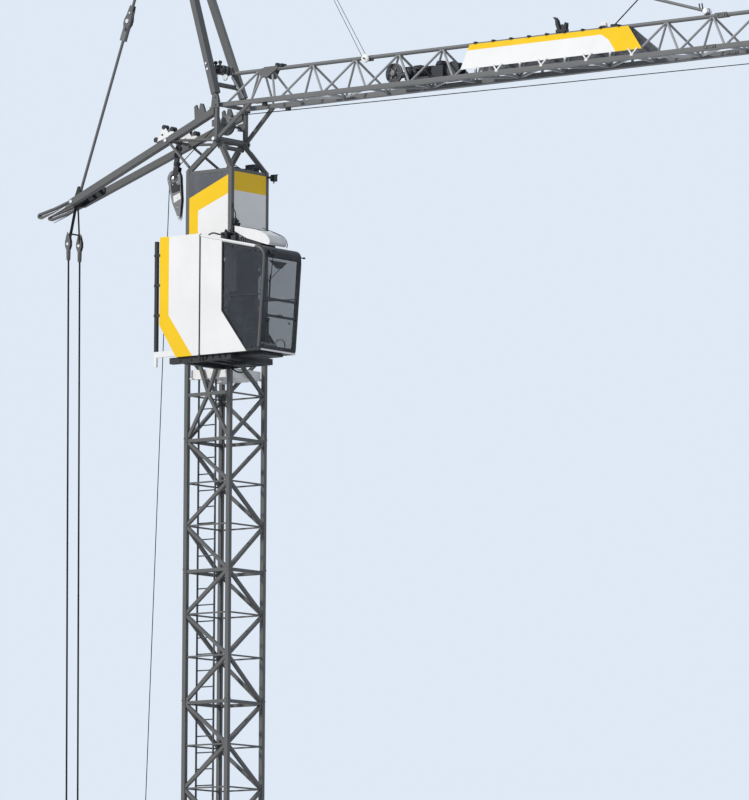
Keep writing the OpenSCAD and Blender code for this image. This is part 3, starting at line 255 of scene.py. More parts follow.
def concrete(name):
    """Cast concrete with rain stains and pores."""
    s = Shade(name, 0.0, 0.85)
    base = s.ramp(s.noise(1.6, 8, 0.6),
                  [(0.25, (0.36, 0.35, 0.33)), (0.55, (0.47, 0.46, 0.43)), (0.8, (0.55, 0.54, 0.51))])
    stain = s.range(s.noise(4, 6, 0.6, (1, 1, 0.15)), 0.5, 0.75, 0.0, 0.5)
    s.put(Base_Color=s.mix(stain, base, (0.22, 0.21, 0.19)))
    pores = s.node("ShaderNodeTexVoronoi", [("Scale", 70), ("Vector", s.coord)])
    s.bump(s.math("ADD", s.range(pores.outputs["Distance"], 0.0, 0.22), s.noise(30, 6)), 0.35, 0.004)
    return s.mat


def tread_plate(name, colour):
    """Dark paint over raised lozenges, worn bright on their crowns."""
    s = Shade(name, 0.1, 0.5)
    place = s.node("ShaderNodeMapping", [("Rotation", (0, 0, math.radians(45))), ("Scale", (1, 2.4, 1)),
                                         ("Vector", s.coord)]).outputs[0]
    cells = s.node("ShaderNodeTexVoronoi", [("Scale", 22), ("Randomness", 0.0), ("Vector", place)])
    raised = s.range(cells.outputs["Distance"], 0.18, 0.42, 1.0, 0.0)
    worn = s.math("MULTIPLY", raised, s.range(s.noise(3, 5), 0.45, 0.7, 0.0, 0.6))
    s.put(Base_Color=s.mix(worn, colour, (0.2, 0.2, 0.2)))
    s.bump(raised, 0.6, 0.004)
    return s.mat


def wavy(name, shade, colour, tones, grain, scale, height, **wave):
    """A mottled colour over fine ridges: the strands of a rope or the weave of a cloth."""
    s = Shade(name, *shade[0], **shade[1])
    s.put(Base_Color=s.ramp(s.noise(*grain), [(0.3, tone(colour, tones[0])), (0.7, tone(colour, tones[1]))]))
    ridges = s.node("ShaderNodeTexWave", [("Scale", scale), ("Vector", s.coord)], **wave)
    s.bump(ridges.outputs["Fac"], *height)
    return s.mat


def glass(name, tint, dusty, side_alpha, front_alpha):
    """Tinted side panes and a clearer windscreen, told apart by their place across the cab."""
    s = Shade(name, 0.0, 0.04, IOR=1.5, Specular_IOR_Level=0.7)
    off = s.math("ABSOLUTE", s.math("SUBTRACT", s.axes()[1], CAB_MID))
    limit = (CAB_FAR - CAB_NEAR) / 2 - 0.035
    s.put(Base_Color=s.ramp(s.noise(5, 6, 0.6), [(0.35, tint), (0.8, dusty)]),
          Roughness=s.range(s.noise(9, 5), 0.3, 0.8, 0.03, 0.16),
          Alpha=s.range(off, limit - 0.002, limit + 0.002, front_alpha, side_alpha))
    return s.mat


GREY = (0.128, 0.129, 0.130)
WHITE = (0.9, 0.9, 0.9)
YELLOW = (0.98, 0.62, 0.002)
BARE_GREY = (0.33, 0.34, 0.36)
CLAD_GREY = (0.10, 0.105, 0.12)
PANEL_DIRT = (0.45, 0.42, 0.38)


def balcony_zones(s):
    """Yellow along the rear edge of the balcony panel and down its slanted foot."""
    upright = s.beside((0.12, 0.0), (0.12, 4.0))
    slanted = s.beside((0.70, 1.33), (0.12, 2.137))
    return [(s.math("MAXIMUM", upright, slanted), YELLOW)]


def cladding_zones(s):
    """Side panels: grey corner, yellow band and its leg; front panel: yellow over white."""
    x, _, z = s.axes()
    front = s.range(x, TOWER_X + 0.505, TOWER_X + 0.510)
    side = s.math("SUBTRACT", 1.0, front)
    band = s.math("MAXIMUM", s.beside((-0.25, 4.228), (0.466, 4.498)), s.beside((-0.25, 0.0), (-0.25, 4.97)))
    cap = s.range(z, REF_Z + 4.558, REF_Z + 4.560)
    yellow = s.math("ADD", s.math("MULTIPLY", band, side), s.math("MULTIPLY", cap, front))
    corner = s.math("MULTIPLY", s.beside((-0.486, 4.463), (0.463, 4.845)), side)
    return [(yellow, YELLOW), (corner, CLAD_GREY), (s.inner_side(), BARE_GREY)]


def jib_panel_zones(s):
    """A yellow strip along the top of the jib's side panels that bends down at their front end."""
    yellow = s.beside((5.0, 6.685), (9.0, 6.685))
    for p, q in (((9.12, 6.30), (8.80, 6.62)), ((8.86, 6.56), (8.62, 6.70))):
        yellow = s.math("MAXIMUM", yellow, s.math("SUBTRACT", 1.0, s.beside(p, q)))
    straps = s.range(s.axes()[2], REF_Z + 6.283, REF_Z + 6.285, 1.0, 0.0)
    return [(yellow, YELLOW), (s.math("MAXIMUM", s.inner_side(), straps), BARE_GREY)]


MATS = {
    "frame_grey": paint("mat_frame_grey", GREY, 0.45, 0.16, (0.06, 0.056, 0.052)),
    # lattice_grey is lighter than the chord grey partly as a painted highlight: it stands in for the sun's
    # bright highlights along the lattice bars
    "lattice_grey": paint("mat_lattice_grey_highlit", (0.36, 0.37, 0.38), 0.35, 0.3, (0.1, 0.095, 0.09), 0.3),
    "dark_steel": paint("mat_dark_steel", (0.03, 0.033, 0.038), 0.5, 0.25, (0.08, 0.07, 0.06)),
    "galvanised": steel("mat_galvanised", (0.42, 0.43, 0.45), 0.45, 0.7),
    "white_paint": paint("mat_white_paint", WHITE, 0.35, 0.1, (0.5, 0.48, 0.45)),
    "yellow_paint": paint("mat_yellow_paint", YELLOW, 0.35, 0.1, (0.5, 0.3, 0.03)),
    "concrete": concrete("mat_concrete"),
    "wire_rope": wavy("mat_wire_rope", ((0.1, 0.6), {"Specular_IOR_Level": 0.2}), (0.022, 0.022, 0.025),
                      (0.6, 1), (90, 3), 34.0, (0.35, 0.002), bands_direction="DIAGONAL"),
    "sheave_grey": steel("mat_sheave_grey", (0.17, 0.175, 0.185), 0.5, 0.55),
    "spindle_steel": steel("mat_spindle_steel", (0.72, 0.73, 0.75), 0.3, 0.8),
    "cab_glass": glass("mat_cab_glass", (0.03, 0.035, 0.044), (0.061, 0.0695, 0.0848), 0.42, 0.2),
    "seat_fabric": wavy("mat_seat_fabric", ((0.0, 0.9), {"Sheen_Weight": 0.3}), (0.03, 0.03, 0.032),
                        (0.7, 1.3), (40, 4), 120, (0.4, 0.001)),
}
JIB_GREY = paint("mat_jib_grey", (0.175, 0.179, 0.184), 0.4, 0.16, (0.08, 0.075, 0.07))
OWN_MATS = {
    "cladding_panels": paint("mat_cladding", WHITE, 0.35, 0.1, PANEL_DIRT, zones=cladding_zones),
    "balcony_panel": paint("mat_balcony_panel", WHITE, 0.35, 0.08, PANEL_DIRT, zones=balcony_zones),
    "jib_side_panels": paint("mat_jib_panels", WHITE, 0.35, 0.1, PANEL_DIRT, zones=jib_panel_zones),
    "jib_top_chord": JIB_GREY,
    "jib_lower_chords": JIB_GREY,
    "jib_guys": JIB_GREY,
    "rear_guy": JIB_GREY,
    "tower_ladder": steel("mat_ladder_steel", (0.10, 0.105, 0.115), 0.5, 0.5),
    "trolley_winch": paint("mat_winch_grey", (0.06, 0.063, 0.068), 0.3, 0.3, (0.09, 0.08, 0.07), 0.3),
    "platform_frame": tread_plate("mat_tread_plate", GREY),
}
for row in frame["record"]["subparts"]:
    materials = nodes[row["node"]].data.materials
    materials.clear()
    materials.append(OWN_MATS.get(row["node"], MATS[row["material_slot"]]))


# Mesh making
def square_to(axis):
    """Two unit vectors square to an axis, the first one level."""
    side = axis.cross(Z_AXIS)
    if side.length < 1e-3:
        side = X_AXIS.copy()
    side.normalize()
    return side, axis.cross(side)


def circle(centre, u, v, r, sides):
    """Points of a circle round a centre in the plane of u and v."""
    turn = 2 * math.pi / sides
    return [centre + r * (math.cos(turn * i) * u + math.sin(turn * i) * v) for i in range(sides)]


def smooth_path(points, steps):
    """A curve through the points, with steps pieces between each two."""
    pts = [2 * points[0] - points[1]] + points + [2 * points[-1] - points[-2]]
    out = []
    for a, b, c, d in zip(pts, pts[1:], pts[2:], pts[3:]):
        for i in range(steps):
            t = i / steps
            out.append(0.5 * (2 * b + (c - a) * t + (2 * a - 5 * b + 4 * c - d) * t * t
                              + (3 * b - a - 3 * c + d) * t ** 3))
    return out + [points[-1]]


KITS = []


class Kit:
    """Collects closed solids in one mesh, which becomes one piece of the scene at the end.

    A Vector is in the CAD frame already.
    """

    def __init__(self, name, slot, bevel=0.0, origin=TOWER, body="upperworks", sharp=35):
        self.name, self.slot, self.bevel = name, slot, bevel
        self.origin, self.body, self.sharp = origin, body, sharp
        self.bm = bmesh.new()
        KITS.append(self)

    def place(self, p):
        return p if isinstance(p, Vector) else Vector([o + c for o, c in zip(self.origin, p)])

    def loft(self, rings, closed=False):
        """Skins rows of points, with a face on the first and last row unless they close."""
        rows = [[self.bm.verts.new(p) for p in ring] for ring in rings]
        count = len(rows[0])
        for a, b in zip(rows, rows[1:] + rows[:1] if closed else rows[1:]):
            for i in range(count):
                j = (i + 1) % count
                self.bm.faces.new((a[i], a[j], b[j], b[i]))
        if not closed:
            self.bm.faces.new(rows[0][::-1])
            self.bm.faces.new(rows[-1])

    def box(self, lo, hi):
        lo, hi = self.place(lo), self.place(hi)
        corners = ((lo.x, lo.y), (hi.x, lo.y), (hi.x, hi.y), (lo.x, hi.y))
        self.loft([[Vector((x, y, z)) for x, y in corners] for z in (lo.z, hi.z)])

    def block(self, centre, size):
        """A box given by its centre and its three lengths."""
        centre, half = self.place(centre), Vector(size) / 2
        self.box(centre - half, centre + half)

    def bar(self, a, b, high, wide):
        """A flat or square bar, high in the upright plane and wide across it."""
        a, b = self.place(a), self.place(b)
        u, v = square_to((b - a).normalized())
        u, v = u * wide / 2, v * high / 2
        self.loft([[p - u - v, p + u - v, p + u + v, p - u + v] for p in (a, b)])

    def turned(self, foot, axis, profile, sides=20):
        """A turned piece: radii and heights along an axis."""
        foot, axis = self.place(foot), Vector(axis).normalized()
        u, v = square_to(axis)
        self.loft([circle(foot + h * axis, u, v, r, sides) for r, h in profile])

    def stud(self, foot, axis, r, high, sides=6):
        self.turned(foot, axis, [(r, 0), (r, high)], sides)

    def tube(self, a, b, d, sides):
        a, b = self.place(a), self.place(b)
        self.stud(a, b - a, d / 2, (b - a).length, sides)

    def pin(self, centre, d, length, axis=Y_AXIS):
        """A pin with chamfered ends, centred on a point."""
        r, cut = d / 2, d * 0.08
        axis = Vector(axis).normalized()
        foot = self.place(centre) - axis * length / 2
        self.turned(foot, axis, [(r - cut, 0), (r, cut), (r, length - cut), (r - cut, length)], 18)

    def bolt(self, foot, axis, d, out):
        """A washer, a hexagon head and a bit of thread, standing on a face."""
        foot, axis = self.place(foot), Vector(axis).normalized()
        self.stud(foot, axis, d * 1.05, out * 0.2, 12)
        head = [(d * 0.85, 0), (d * 0.85, out * 0.6), (d * 0.7, out * 0.7)]
        self.turned(foot + axis * out * 0.2, axis, head, 6)
        self.stud(foot + axis * out * 0.9, axis, d * 0.45, out * 0.5, 8)

    def sheave(self, foot, axis, edge, rim, groove, wide, dip, sides):
        """A grooved wheel: radii of edge, rim and groove, its width, and how far in the groove begins."""
        self.turned(foot, axis, [(edge, 0), (rim, 0.008), (groove, dip), (groove, wide - dip),
                                 (rim, wide - 0.008), (edge, wide)], sides)

    def plate(self, outline, thick, normal=Y_AXIS):
        """A plate of that outline, as thick to both sides of it."""
        n = normal.normalized() * thick / 2
        outline = [self.place(p) for p in outline]
        self.loft([[p - n for p in outline], [p + n for p in outline]])

    def sweep(self, points, d, sides=8, steps=6):
        """A round hose or rod along a smooth curve."""
        path = smooth_path([self.place(p) for p in points], steps)
        u, _ = square_to((path[1] - path[0]).normalized())
        rings = []
        for i, p in enumerate(path):
            along = (path[min(i + 1, len(path) - 1)] - path[max(i - 1, 0)]).normalized()
            u = (u - along * u.dot(along)).normalized()
            rings.append(circle(p, u, along.cross(u), d / 2, sides))
        self.loft(rings)

    def ring(self, centre, r, d, turns=1, pitch=0.0, steps=28, sides=8):
        """A ring across Y, or a helix when it has a pitch: r to the middle of a wire of diameter d."""
        u, v = square_to(Y_AXIS)
        count = steps * turns
        rings = []
        for i in range(count + (1 if pitch else 0)):
            a = 2 * math.pi * turns * i / count
            out = math.cos(a) * u + math.sin(a) * v
            middle = self.place(centre) + r * out + Y_AXIS * pitch * turns * i / count
            rings.append(circle(middle, out, Y_AXIS, d / 2, sides))
        self.loft(rings, closed=not pitch)

    def piece(self):
        """Makes the object, gives it its finish and lets it ride on its body."""
        bmesh.ops.recalc_face_normals(self.bm, faces=self.bm.faces)
        mesh = bpy.data.meshes.new(self.name)
        self.bm.to_mesh(mesh)
        self.bm.free()
        mesh.polygons.foreach_set("use_smooth", [True] * len(mesh.polygons))
        mesh.set_sharp_from_angle(angle=math.radians(self.sharp))
        mesh.materials.append(MATS[self.slot])
        obj = bpy.data.objects.new(self.name, mesh)
        bpy.context.scene.collection.objects.link(obj)
        if self.bevel:
            edge = obj.modifiers.new("edge", "BEVEL")
            edge.width = self.bevel
            edge.segments = 2
            edge.limit_method = "ANGLE"
        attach(obj, self.body)
        return obj


# Tower
def tower_joints():
    """Collars and pins on the four chords at every section joint."""
    collars = Kit("tower_joint_collars", "frame_grey")
    pins = Kit("tower_joint_pins", "sheave_grey")
    for k in range(8):
        for sx, sy in CORNERS:
            joint = at(sx * HALF, sy * HALF, 0.045 - SECTION * k)
            for lift in (-0.008, 0.008):
                collars.block(joint + Z_AXIS * lift, (0.09, 0.09, 0.013))
            for lift, axis in ((-0.06, Y_AXIS), (0.06, X_AXIS)):
                pins.pin(joint + Z_AXIS * lift, 0.028, 0.106, axis)


def tower_cable():
    """The electric line that climbs inside the rear chord, with its clips."""
    line = Kit("tower_power_cable", "dark_steel")
    clips = Kit("tower_cable_clips", "frame_grey", 0.002)
    foot, head = 1.25 - REF_Z, 4.6
    x, y = -HALF + 0.075, HALF - 0.075
    line.tube((x, y, foot), (x, y, head), 0.024, 10)
    z = foot + 0.6
    while z < head:
        clips.block((x - 0.015, y + 0.015, z), (0.05, 0.05, 0.024))
        z += 1.2


def crown_fittings():
    """Junction boxes on the clad top, the corner floodlight and the cable knot at the front corner."""
    boxes = Kit("crown_boxes", "dark_steel", 0.006)
    boxes.block((0.34, 0.30, 5.055), (0.20, 0.16, 0.13))
    boxes.block((0.06, 0.10, 5.03), (0.18, 0.16, 0.1))
    for y in (0.28, 0.05):
        boxes.bar((-0.47, y, 4.985), (0.47, y, 4.985), 0.03, 0.05)
    for y in (0.25, 0.30, 0.35):
        boxes.tube((0.43, y, 5.04), (0.47, y, 5.04), 0.03, 10)
    boxes.sweep([(0.38, 0.22, 5.05), (0.30, 0.05, 5.02), (0.16, 0.02, 5.1), (0.05, 0.06, 5.07)], 0.02)

    lamp = Kit("corner_floodlight", "dark_steel", 0.004)
    lamp.bar((0.54, 0.50, 4.9), (0.56, 0.62, 4.9), 0.04, 0.03)
    lamp.block((0.57, 0.655, 4.90), (0.08, 0.10, 0.12))
    lamp.block((0.57, 0.70, 4.965), (0.09, 0.06, 0.012))
    for i in range(5):
        lamp.block((0.522, 0.62 + 0.018 * i, 4.9), (0.024, 0.007, 0.10))
    lamp.pin((0.57, 0.65, 4.825), 0.024, 0.05, Z_AXIS)

    knot = Kit("front_corner_plugs", "dark_steel", 0.003)
    for y, z, length in ((-0.47, 3.98, 0.12), (-0.42, 3.94, 0.14), (-0.37, 3.90, 0.12), (-0.44, 3.89, 0.14)):
        knot.pin((0.57, y, z), 0.055, length, (0.3, 0.2, 1))
    knot.block((0.555, -0.44, 3.86), (0.05, 0.16, 0.09))
    knot.sweep([(0.58, -0.47, 4.03), (0.60, -0.49, 4.12), (0.565, -0.5, 4.2), (0.55, -0.5, 4.3)], 0.02)
    knot.sweep([(0.58, -0.42, 3.86), (0.63, -0.45, 3.74), (0.62, -0.56, 3.64), (0.66, -0.80, 3.60),
                (0.80, -0.98, 3.60)], 0.026)


def cladding_rivets():
    """Rivets along the edges of the cladding."""
    rivets = Kit("cladding_rivets", "galvanised")
    face = HALF + 0.0385
    head = [(0.007, 0), (0.005, 0.003)]
    row = [-0.42 + 0.168 * i for i in range(6)]
    spots = [(x, z) for x in row for z in (3.31, 4.86)]
    spots += [(x, z) for z in (3.7, 4.1, 4.5) for x in (-0.44, 0.44)]
    for s in SIDES:
        for x, z in spots:
            rivets.turned((x, s * face, z), Y_AXIS * s, head, 8)
    for y in row:
        for z in (3.95, 4.87):
            rivets.turned((face, y, z), X_AXIS, head, 8)


# Cab
def cab_edges():
    """Roof gutters that bend into the windscreen pillars, on both sides, and the seams."""
    top = roof_z(2.16) - 0.024
    for side, (y, out) in zip(("near", "far"), CAB_SIDES):
        line = y + out * 0.004
        gutter = Kit("cab_gutter_" + side, "white_paint")
        slope = [(x, line, roof_z(x) - 0.02) for x in (0.87, 1.2, 1.6, 2.0)]
        gutter.sweep(slope + [(2.16, line, top)], 0.04)
        pillar = Kit("cab_pillar_" + side, "frame_grey")
        bend = side_view(line, ((2.15, top), (2.25, top - 0.04), (2.325, top - 0.11), (2.352, top - 0.21)))
        pillar.sweep(bend + [(front_x(z) - 0.024, line, z) for z in (2.85, 2.4, 1.9, 1.42)], 0.05, 10)
    seam = Kit("cab_side_seams", "dark_steel")
    for y, out in CAB_SIDES:
        seam.block((CAB_X, y + out * 0.002, CAB_Z + 1.08), (0.026, 0.012, 2.24))
    seam.block((CAB_X + 0.006, CAB_NEAR, CAB_Z - 0.05), (0.03, 0.03, 0.14))


def window_details():
    """Clamp buttons, seals and the slim middle bar of the side windows."""
    buttons = Kit("window_buttons", "dark_steel")
    bars = Kit("window_seals", "dark_steel")
    spots = ((1.44, 2.60), (1.44, 2.18), (2.27, 2.58), (2.24, 2.165), (2.05, 1.43), (1.58, 3.29),
             (2.12, 3.17))
    edge = ((1.375, 3.37), (1.375, 2.13), (1.93, 1.40), (2.20, 1.40))
    runs = [*zip(edge, edge[1:]), (edge[0], (2.18, 3.20))]
    for y, out in CAB_SIDES:
        face = y - out * 0.012
        for spot in side_view(face, spots):
            buttons.turned(spot, Y_AXIS * out, [(0.017, 0), (0.021, 0.006), (0.015, 0.014)], 12)
        bars.bar((1.385, face, 2.40), (2.315, face, 2.365), 0.02, 0.014)
        for run in runs:
            bars.bar(*side_view(face + out * 0.004, run), 0.02, 0.016)


def windscreen_details():
    """Wiper, clamp buttons, sun visor, white foot and corner lamp of the leaning windscreen."""
    def on_screen(y, z, out=0.0):
        return front_x(z) + out, y, z

    wiper = Kit("windscreen_wiper", "dark_steel")
    for y, z in ((-1.665, 2.61), (-0.835, 2.61), (-0.87, 2.16), (-1.61, 1.89), (-1.02, 1.90), (-1.33, 2.02),
                 (-1.25, 2.02), (-1.70, 1.46), (-0.86, 1.46)):
        wiper.turned(on_screen(y, z, 0.008), X_AXIS, [(0.018, 0), (0.021, 0.006), (0.015, 0.014)], 12)
    wiper.block(on_screen(-1.62, 3.13, 0.012), (0.06, 0.16, 0.09))
    wiper.bar(on_screen(-1.62, 3.10, 0.03), on_screen(-1.65, 2.60, 0.026), 0.014, 0.02)
    wiper.bar(on_screen(-1.65, 2.72, 0.016), on_screen(-1.64, 2.32, 0.016), 0.012, 0.026)
    wiper.bar(on_screen(-1.74, 3.08, 0.006), on_screen(-0.84, 3.08, 0.006), 0.05, 0.02)

    visor = Kit("cab_sun_visor", "dark_steel")
    inner = -0.09
    outline = ((-1.58, 3.0), (-1.08, 3.0), (-1.22, 2.88), (-1.34, 2.87))
    visor.plate([on_screen(y, z, inner) for y, z in outline], 0.02, X_AXIS)
    visor.tube(on_screen(-1.12, 2.98, inner), on_screen(-1.56, 2.63, inner), 0.014, 8)

    foot = Kit("cab_front_foot", "white_paint", 0.004)
    foot.block((2.262, CAB_MID, CAB_Z + 0.012), (0.03, CAB_FAR - CAB_NEAR - 0.06, 0.028))

    lamp = Kit("cab_corner_lamp", "dark_steel", 0.003)
    lamp.pin(on_screen(CAB_FAR + 0.01, 3.12), 0.02, 0.12)
    lamp.block(on_screen(CAB_FAR + 0.075, 3.12), (0.04, 0.03, 0.03))


def roof_details():
    """Plugs, hose and cable on the rear of the roof, the line over the air unit and the unit's slots."""
    plugs = Kit("roof_plugs", "dark_steel", 0.004)
    lumps = ((0.98, 0.10, 0.10), (1.08, 0.14, 0.12), (1.19, 0.09, 0.15), (1.30, 0.11, 0.09),
             (1.14, 0.07, 0.20))
    for i, (x, size, high) in enumerate(lumps):
        y, z = -1.22 - 0.14 * (i % 2), roof_z(x)
        plugs.block((x, y, z + high / 2), (size, 0.10, high))
        plugs.tube((x, y, z + high), (x + 0.02, y, z + high + 0.05), 0.05, 10)
    plugs.sweep([(0.90, -1.62, roof_z(0.9) + 0.02), (0.99, -1.60, roof_z(1) + 0.07),
                 (1.06, -1.50, roof_z(1) + 0.05), (1.08, -1.38, roof_z(1.1) + 0.1),
                 (1.18, -1.30, roof_z(1.2) + 0.14), (1.32, -1.26, roof_z(1.3) + 0.1)], 0.03)
    plugs.sweep([(1.05, -1.20, roof_z(1.05) + 0.12), (1.15, -1.16, roof_z(1.1) + 0.2),
                 (1.28, -1.18, roof_z(1.3) + 0.16), (1.36, -1.2, roof_z(1.36) + 0.08)], 0.022)

    arch = Kit("roof_cable", "dark_steel")
    top = roof_z(2.0)
    arch.sweep([(1.55, -0.88, roof_z(1.55) + 0.32), (1.85, -0.86, top + 0.30), (2.05, -0.86, top + 0.2),
                (2.13, -0.87, top + 0.07), (2.12, -0.88, top)], 0.014)

    slots = Kit("air_unit_slots", "dark_steel", origin=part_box("roof_unit")[0])
    for i in range(7):
        y = 0.09 + 0.05 * i
        slots.box((-0.004, y, 0.10), (0.01, y + 0.022, 0.22))


def cab_inside():
    """Near-black lining, floor mat and ceiling sheet, partly painted shade of the cab's inside, then pedals,
    foot rest, ceiling lamp and the two control boxes with their levers.
    """
    shade_lining = Kit("cab_lining_painted_shade", "dark_steel", 0.002)
    # The lining's near-black colour is partly painted shade: it keeps the inside seen through the windows
    # dark
    shade_lining.block((CAB_X + 0.05, CAB_MID, CAB_FLOOR + 0.4), (0.012, 0.90, 0.78))
    for y, out in CAB_SIDES:
        shade_lining.block((CAB_X + 0.29, y - out * 0.046, CAB_FLOOR + 1.0), (0.46, 0.01, 1.9))
    shade_lining.block((1.52, CAB_MID, CAB_FLOOR + 0.006), (1.3, 0.92, 0.012))
    shade_lining.bar(*((x, CAB_MID, roof_z(x) - 0.058) for x in (CAB_X + 0.05, 2.08)), 0.012, 0.92)

    boxes = Kit("seat_control_boxes", "dark_steel", 0.008, SEAT)
    levers = Kit("seat_levers", "seat_fabric", origin=SEAT)
    lever = [(0.04, 0), (0.036, 0.02), (0.02, 0.05), (0.011, 0.06), (0.011, 0.12), (0.024, 0.14),
             (0.027, 0.18), (0.012, 0.205)]
    for s in SIDES:
        y = s * 0.31
        boxes.box((-0.19, y - 0.055, 0.02), (0.27, y + 0.055, 0.60))
        boxes.box((-0.20, y - 0.065, 0.60), (0.28, y + 0.065, 0.64))
        boxes.block((-0.02, y, 0.67), (0.26, 0.08, 0.05))
        levers.turned((0.18, y, 0.64), Z_AXIS, lever, 16)
        for i in range(3):
            levers.stud((0.08 - 0.05 * i, y + s * 0.045, 0.64), Z_AXIS, 0.012, 0.012, 10)
    for y in (-0.1, 0.1):
        boxes.block((0.52, y, 0.07), (0.14, 0.09, 0.014))
        boxes.bar((0.56, y, 0.01), (0.50, y, 0.07), 0.02, 0.05)

    rest = Kit("cab_foot_rest", "lattice_grey", 0.004, SEAT)
    rest.box((0.61, -0.38, 0.0), (0.68, 0.05, 0.10))
    rest.sweep([(0.61, 0.12, 0.0), (0.63, 0.13, 0.16), (0.64, 0.25, 0.20), (0.63, 0.37, 0.16),
                (0.61, 0.38, 0.0)], 0.024)
    lamp = Kit("cab_ceiling_lamp", "white_paint", 0.006)
    lamp.bar(*((x, CAB_MID + 0.12, roof_z(x) - 0.085) for x in (1.15, 1.75)), 0.03, 0.05)


def pad(name, centre, half, tilt=0.0, channels=3):
    """A stuffed pad: a rounded box that swells between its seams, with sewn channels across it."""
    kit = Kit(name, "seat_fabric", origin=SEAT, sharp=60)
    rows, cols, corner = 28, 56, 0.42
    centre = kit.place(centre)
    spin = Matrix.Rotation(tilt, 4, "Y")

    def power(value):
        return math.copysign(abs(value) ** corner, value)

    def point(v, u):
        x = power(math.cos(v)) * power(math.cos(u))
        y = power(math.cos(v)) * power(math.sin(u))
        swell = 1 + 0.16 * (1 - x * x) * (1 - y * y)
        crease = max(0.0, math.cos(math.pi * (channels + 1) * x)) ** 14 if abs(x) < 0.9 else 0.0
        z = power(math.sin(v)) * swell * (1 - 0.14 * crease * (1 - y ** 8))
        return kit.bm.verts.new(centre + spin @ Vector((x * half[0], y * half[1], z * half[2])))

    grid = [[point(-math.pi / 2 + math.pi * i / rows, -math.pi + 2 * math.pi * j / cols)
             for j in range(cols)] for i in range(1, rows)]
    for a, b in zip(grid, grid[1:]):
        for j in range(cols):
            k = (j + 1) % cols
            kit.bm.faces.new((a[j], a[k], b[k], b[j]))
    for row, v in ((grid[0], -math.pi / 2), (grid[-1], math.pi / 2)):
        tip = point(v, 0.0)
        for j in range(cols):
            kit.bm.faces.new((row[j], row[(j + 1) % cols], tip))
    rim = []
    for j in range(41):
        u = 2 * math.pi * j / 40
        across = (half[0] * power(math.cos(u)) * 1.005, half[1] * power(math.sin(u)) * 1.005, 0)
        rim.append(centre + spin @ Vector(across))
    kit.sweep(rim, 0.010, 6, 2)


def cab_seat():
    """Operator's seat: stuffed cushion, back and head rest on a sprung pedestal."""
    upright = math.pi / 2 + math.atan2(0.07, 0.75)
    pad("seat_cushion", (0.015, 0, 0.335), (0.245, 0.225, 0.060))
    pad("seat_back", (-0.215, 0, 0.70), (0.29, 0.205, 0.050), upright)
    pad("seat_headrest", (-0.252, 0, 1.07), (0.07, 0.12, 0.042), upright, 0)
    base = Kit("seat_pedestal", "dark_steel", 0.004, SEAT)
    base.box((-0.155, -0.175, 0.012), (0.155, 0.175, 0.05))
    for i in range(5):
        grow = 0.012 * (i % 2)
        base.box((-0.13 - grow, -0.14 - grow, 0.05 + 0.04 * i), (0.13 + grow, 0.14 + grow, 0.09 + 0.04 * i))
    base.box((-0.2, -0.2, 0.25), (0.22, 0.2, 0.275))
    for s in SIDES:
        base.tube((-0.235, s * 0.05, 0.93), (-0.25, s * 0.05, 1.04), 0.014, 8)
        base.bar((-0.2, s * 0.19, 0.27), (-0.235, s * 0.19, 0.55), 0.05, 0.014)


def cab_underside():
    """Ribs, brackets, bolts and supply loops under the cab and the balcony."""
    ribs = Kit("cab_floor_ribs", "dark_steel", 0.003)
    for x in (0.98, 1.12, 1.27, 1.41):
        outline = ((0.02, -0.004), (0.30, -0.004), (0.18, -0.105), (0.05, -0.075))
        ribs.plate([(x, CAB_NEAR + y, CAB_Z + z) for y, z in outline], 0.012, X_AXIS)
    for x in (0.36, 0.62, 0.95, 1.30):
        ribs.bolt((x, CAB_NEAR + 0.06, CAB_Z - 0.07), -Y_AXIS, 0.018, 0.018)
    ribs.block((1.36, -1.18, CAB_Z - 0.09), (0.34, 0.26, 0.16))
    ribs.block((1.80, -1.30, CAB_Z - 0.03), (0.7, 0.6, 0.05))
    ribs.sweep([(1.30, -1.05, CAB_Z - 0.16), (1.15, -0.9, CAB_Z - 0.24), (0.85, -0.72, CAB_Z - 0.2),
                (0.62, -0.6, CAB_Z - 0.1)], 0.03)
    loops = Kit("cab_supply_loops", "galvanised")
    for i, reach in enumerate((0.0, 0.05, 0.11)):
        loops.sweep([(0.30 + reach, 0.05, CAB_Z - 0.06), (0.42, 0.18 + reach, CAB_Z - 0.14 - reach),
                     (0.43, 0.32, CAB_Z - 0.18 - reach), (0.42, 0.43, CAB_Z - 0.36 - 0.04 * i),
                     (0.455, 0.46, CAB_Z - 0.7)], 0.016)


def balcony_details():
    """Clamps that hold the guard brackets."""
    clamps = Kit("guard_clamps", "dark_steel", 0.003)
    for share in (0.36, 0.61, 0.86):
        z = CAB_Z + share * 2.2
        clamps.block((-0.125, CAB_NEAR + 0.02, z), (0.07, 0.05, 0.05))
        clamps.block((-0.19, CAB_NEAR + 0.03, z), (0.075, 0.075, 0.045))
        clamps.bolt((-0.19, CAB_NEAR - 0.008, z), -Y_AXIS, 0.010, 0.012)


def landing_bolts():
    """Bolts at the landing's corners and rivets along its kick plate."""
    bolts = Kit("landing_bolts", "galvanised")
    z = CAB_Z - 0.06 - 0.17
    for sx, sy in CORNERS:
        bolts.bolt((sx * 0.43, sy * 0.472, z + 0.03), Z_AXIS, 0.012, 0.014)
    for i in range(5):
        bolts.turned((-0.36 + 0.18 * i, -0.4505, z + 0.09), -Y_AXIS, [(0.008, 0), (0.006, 0.004)], 8)


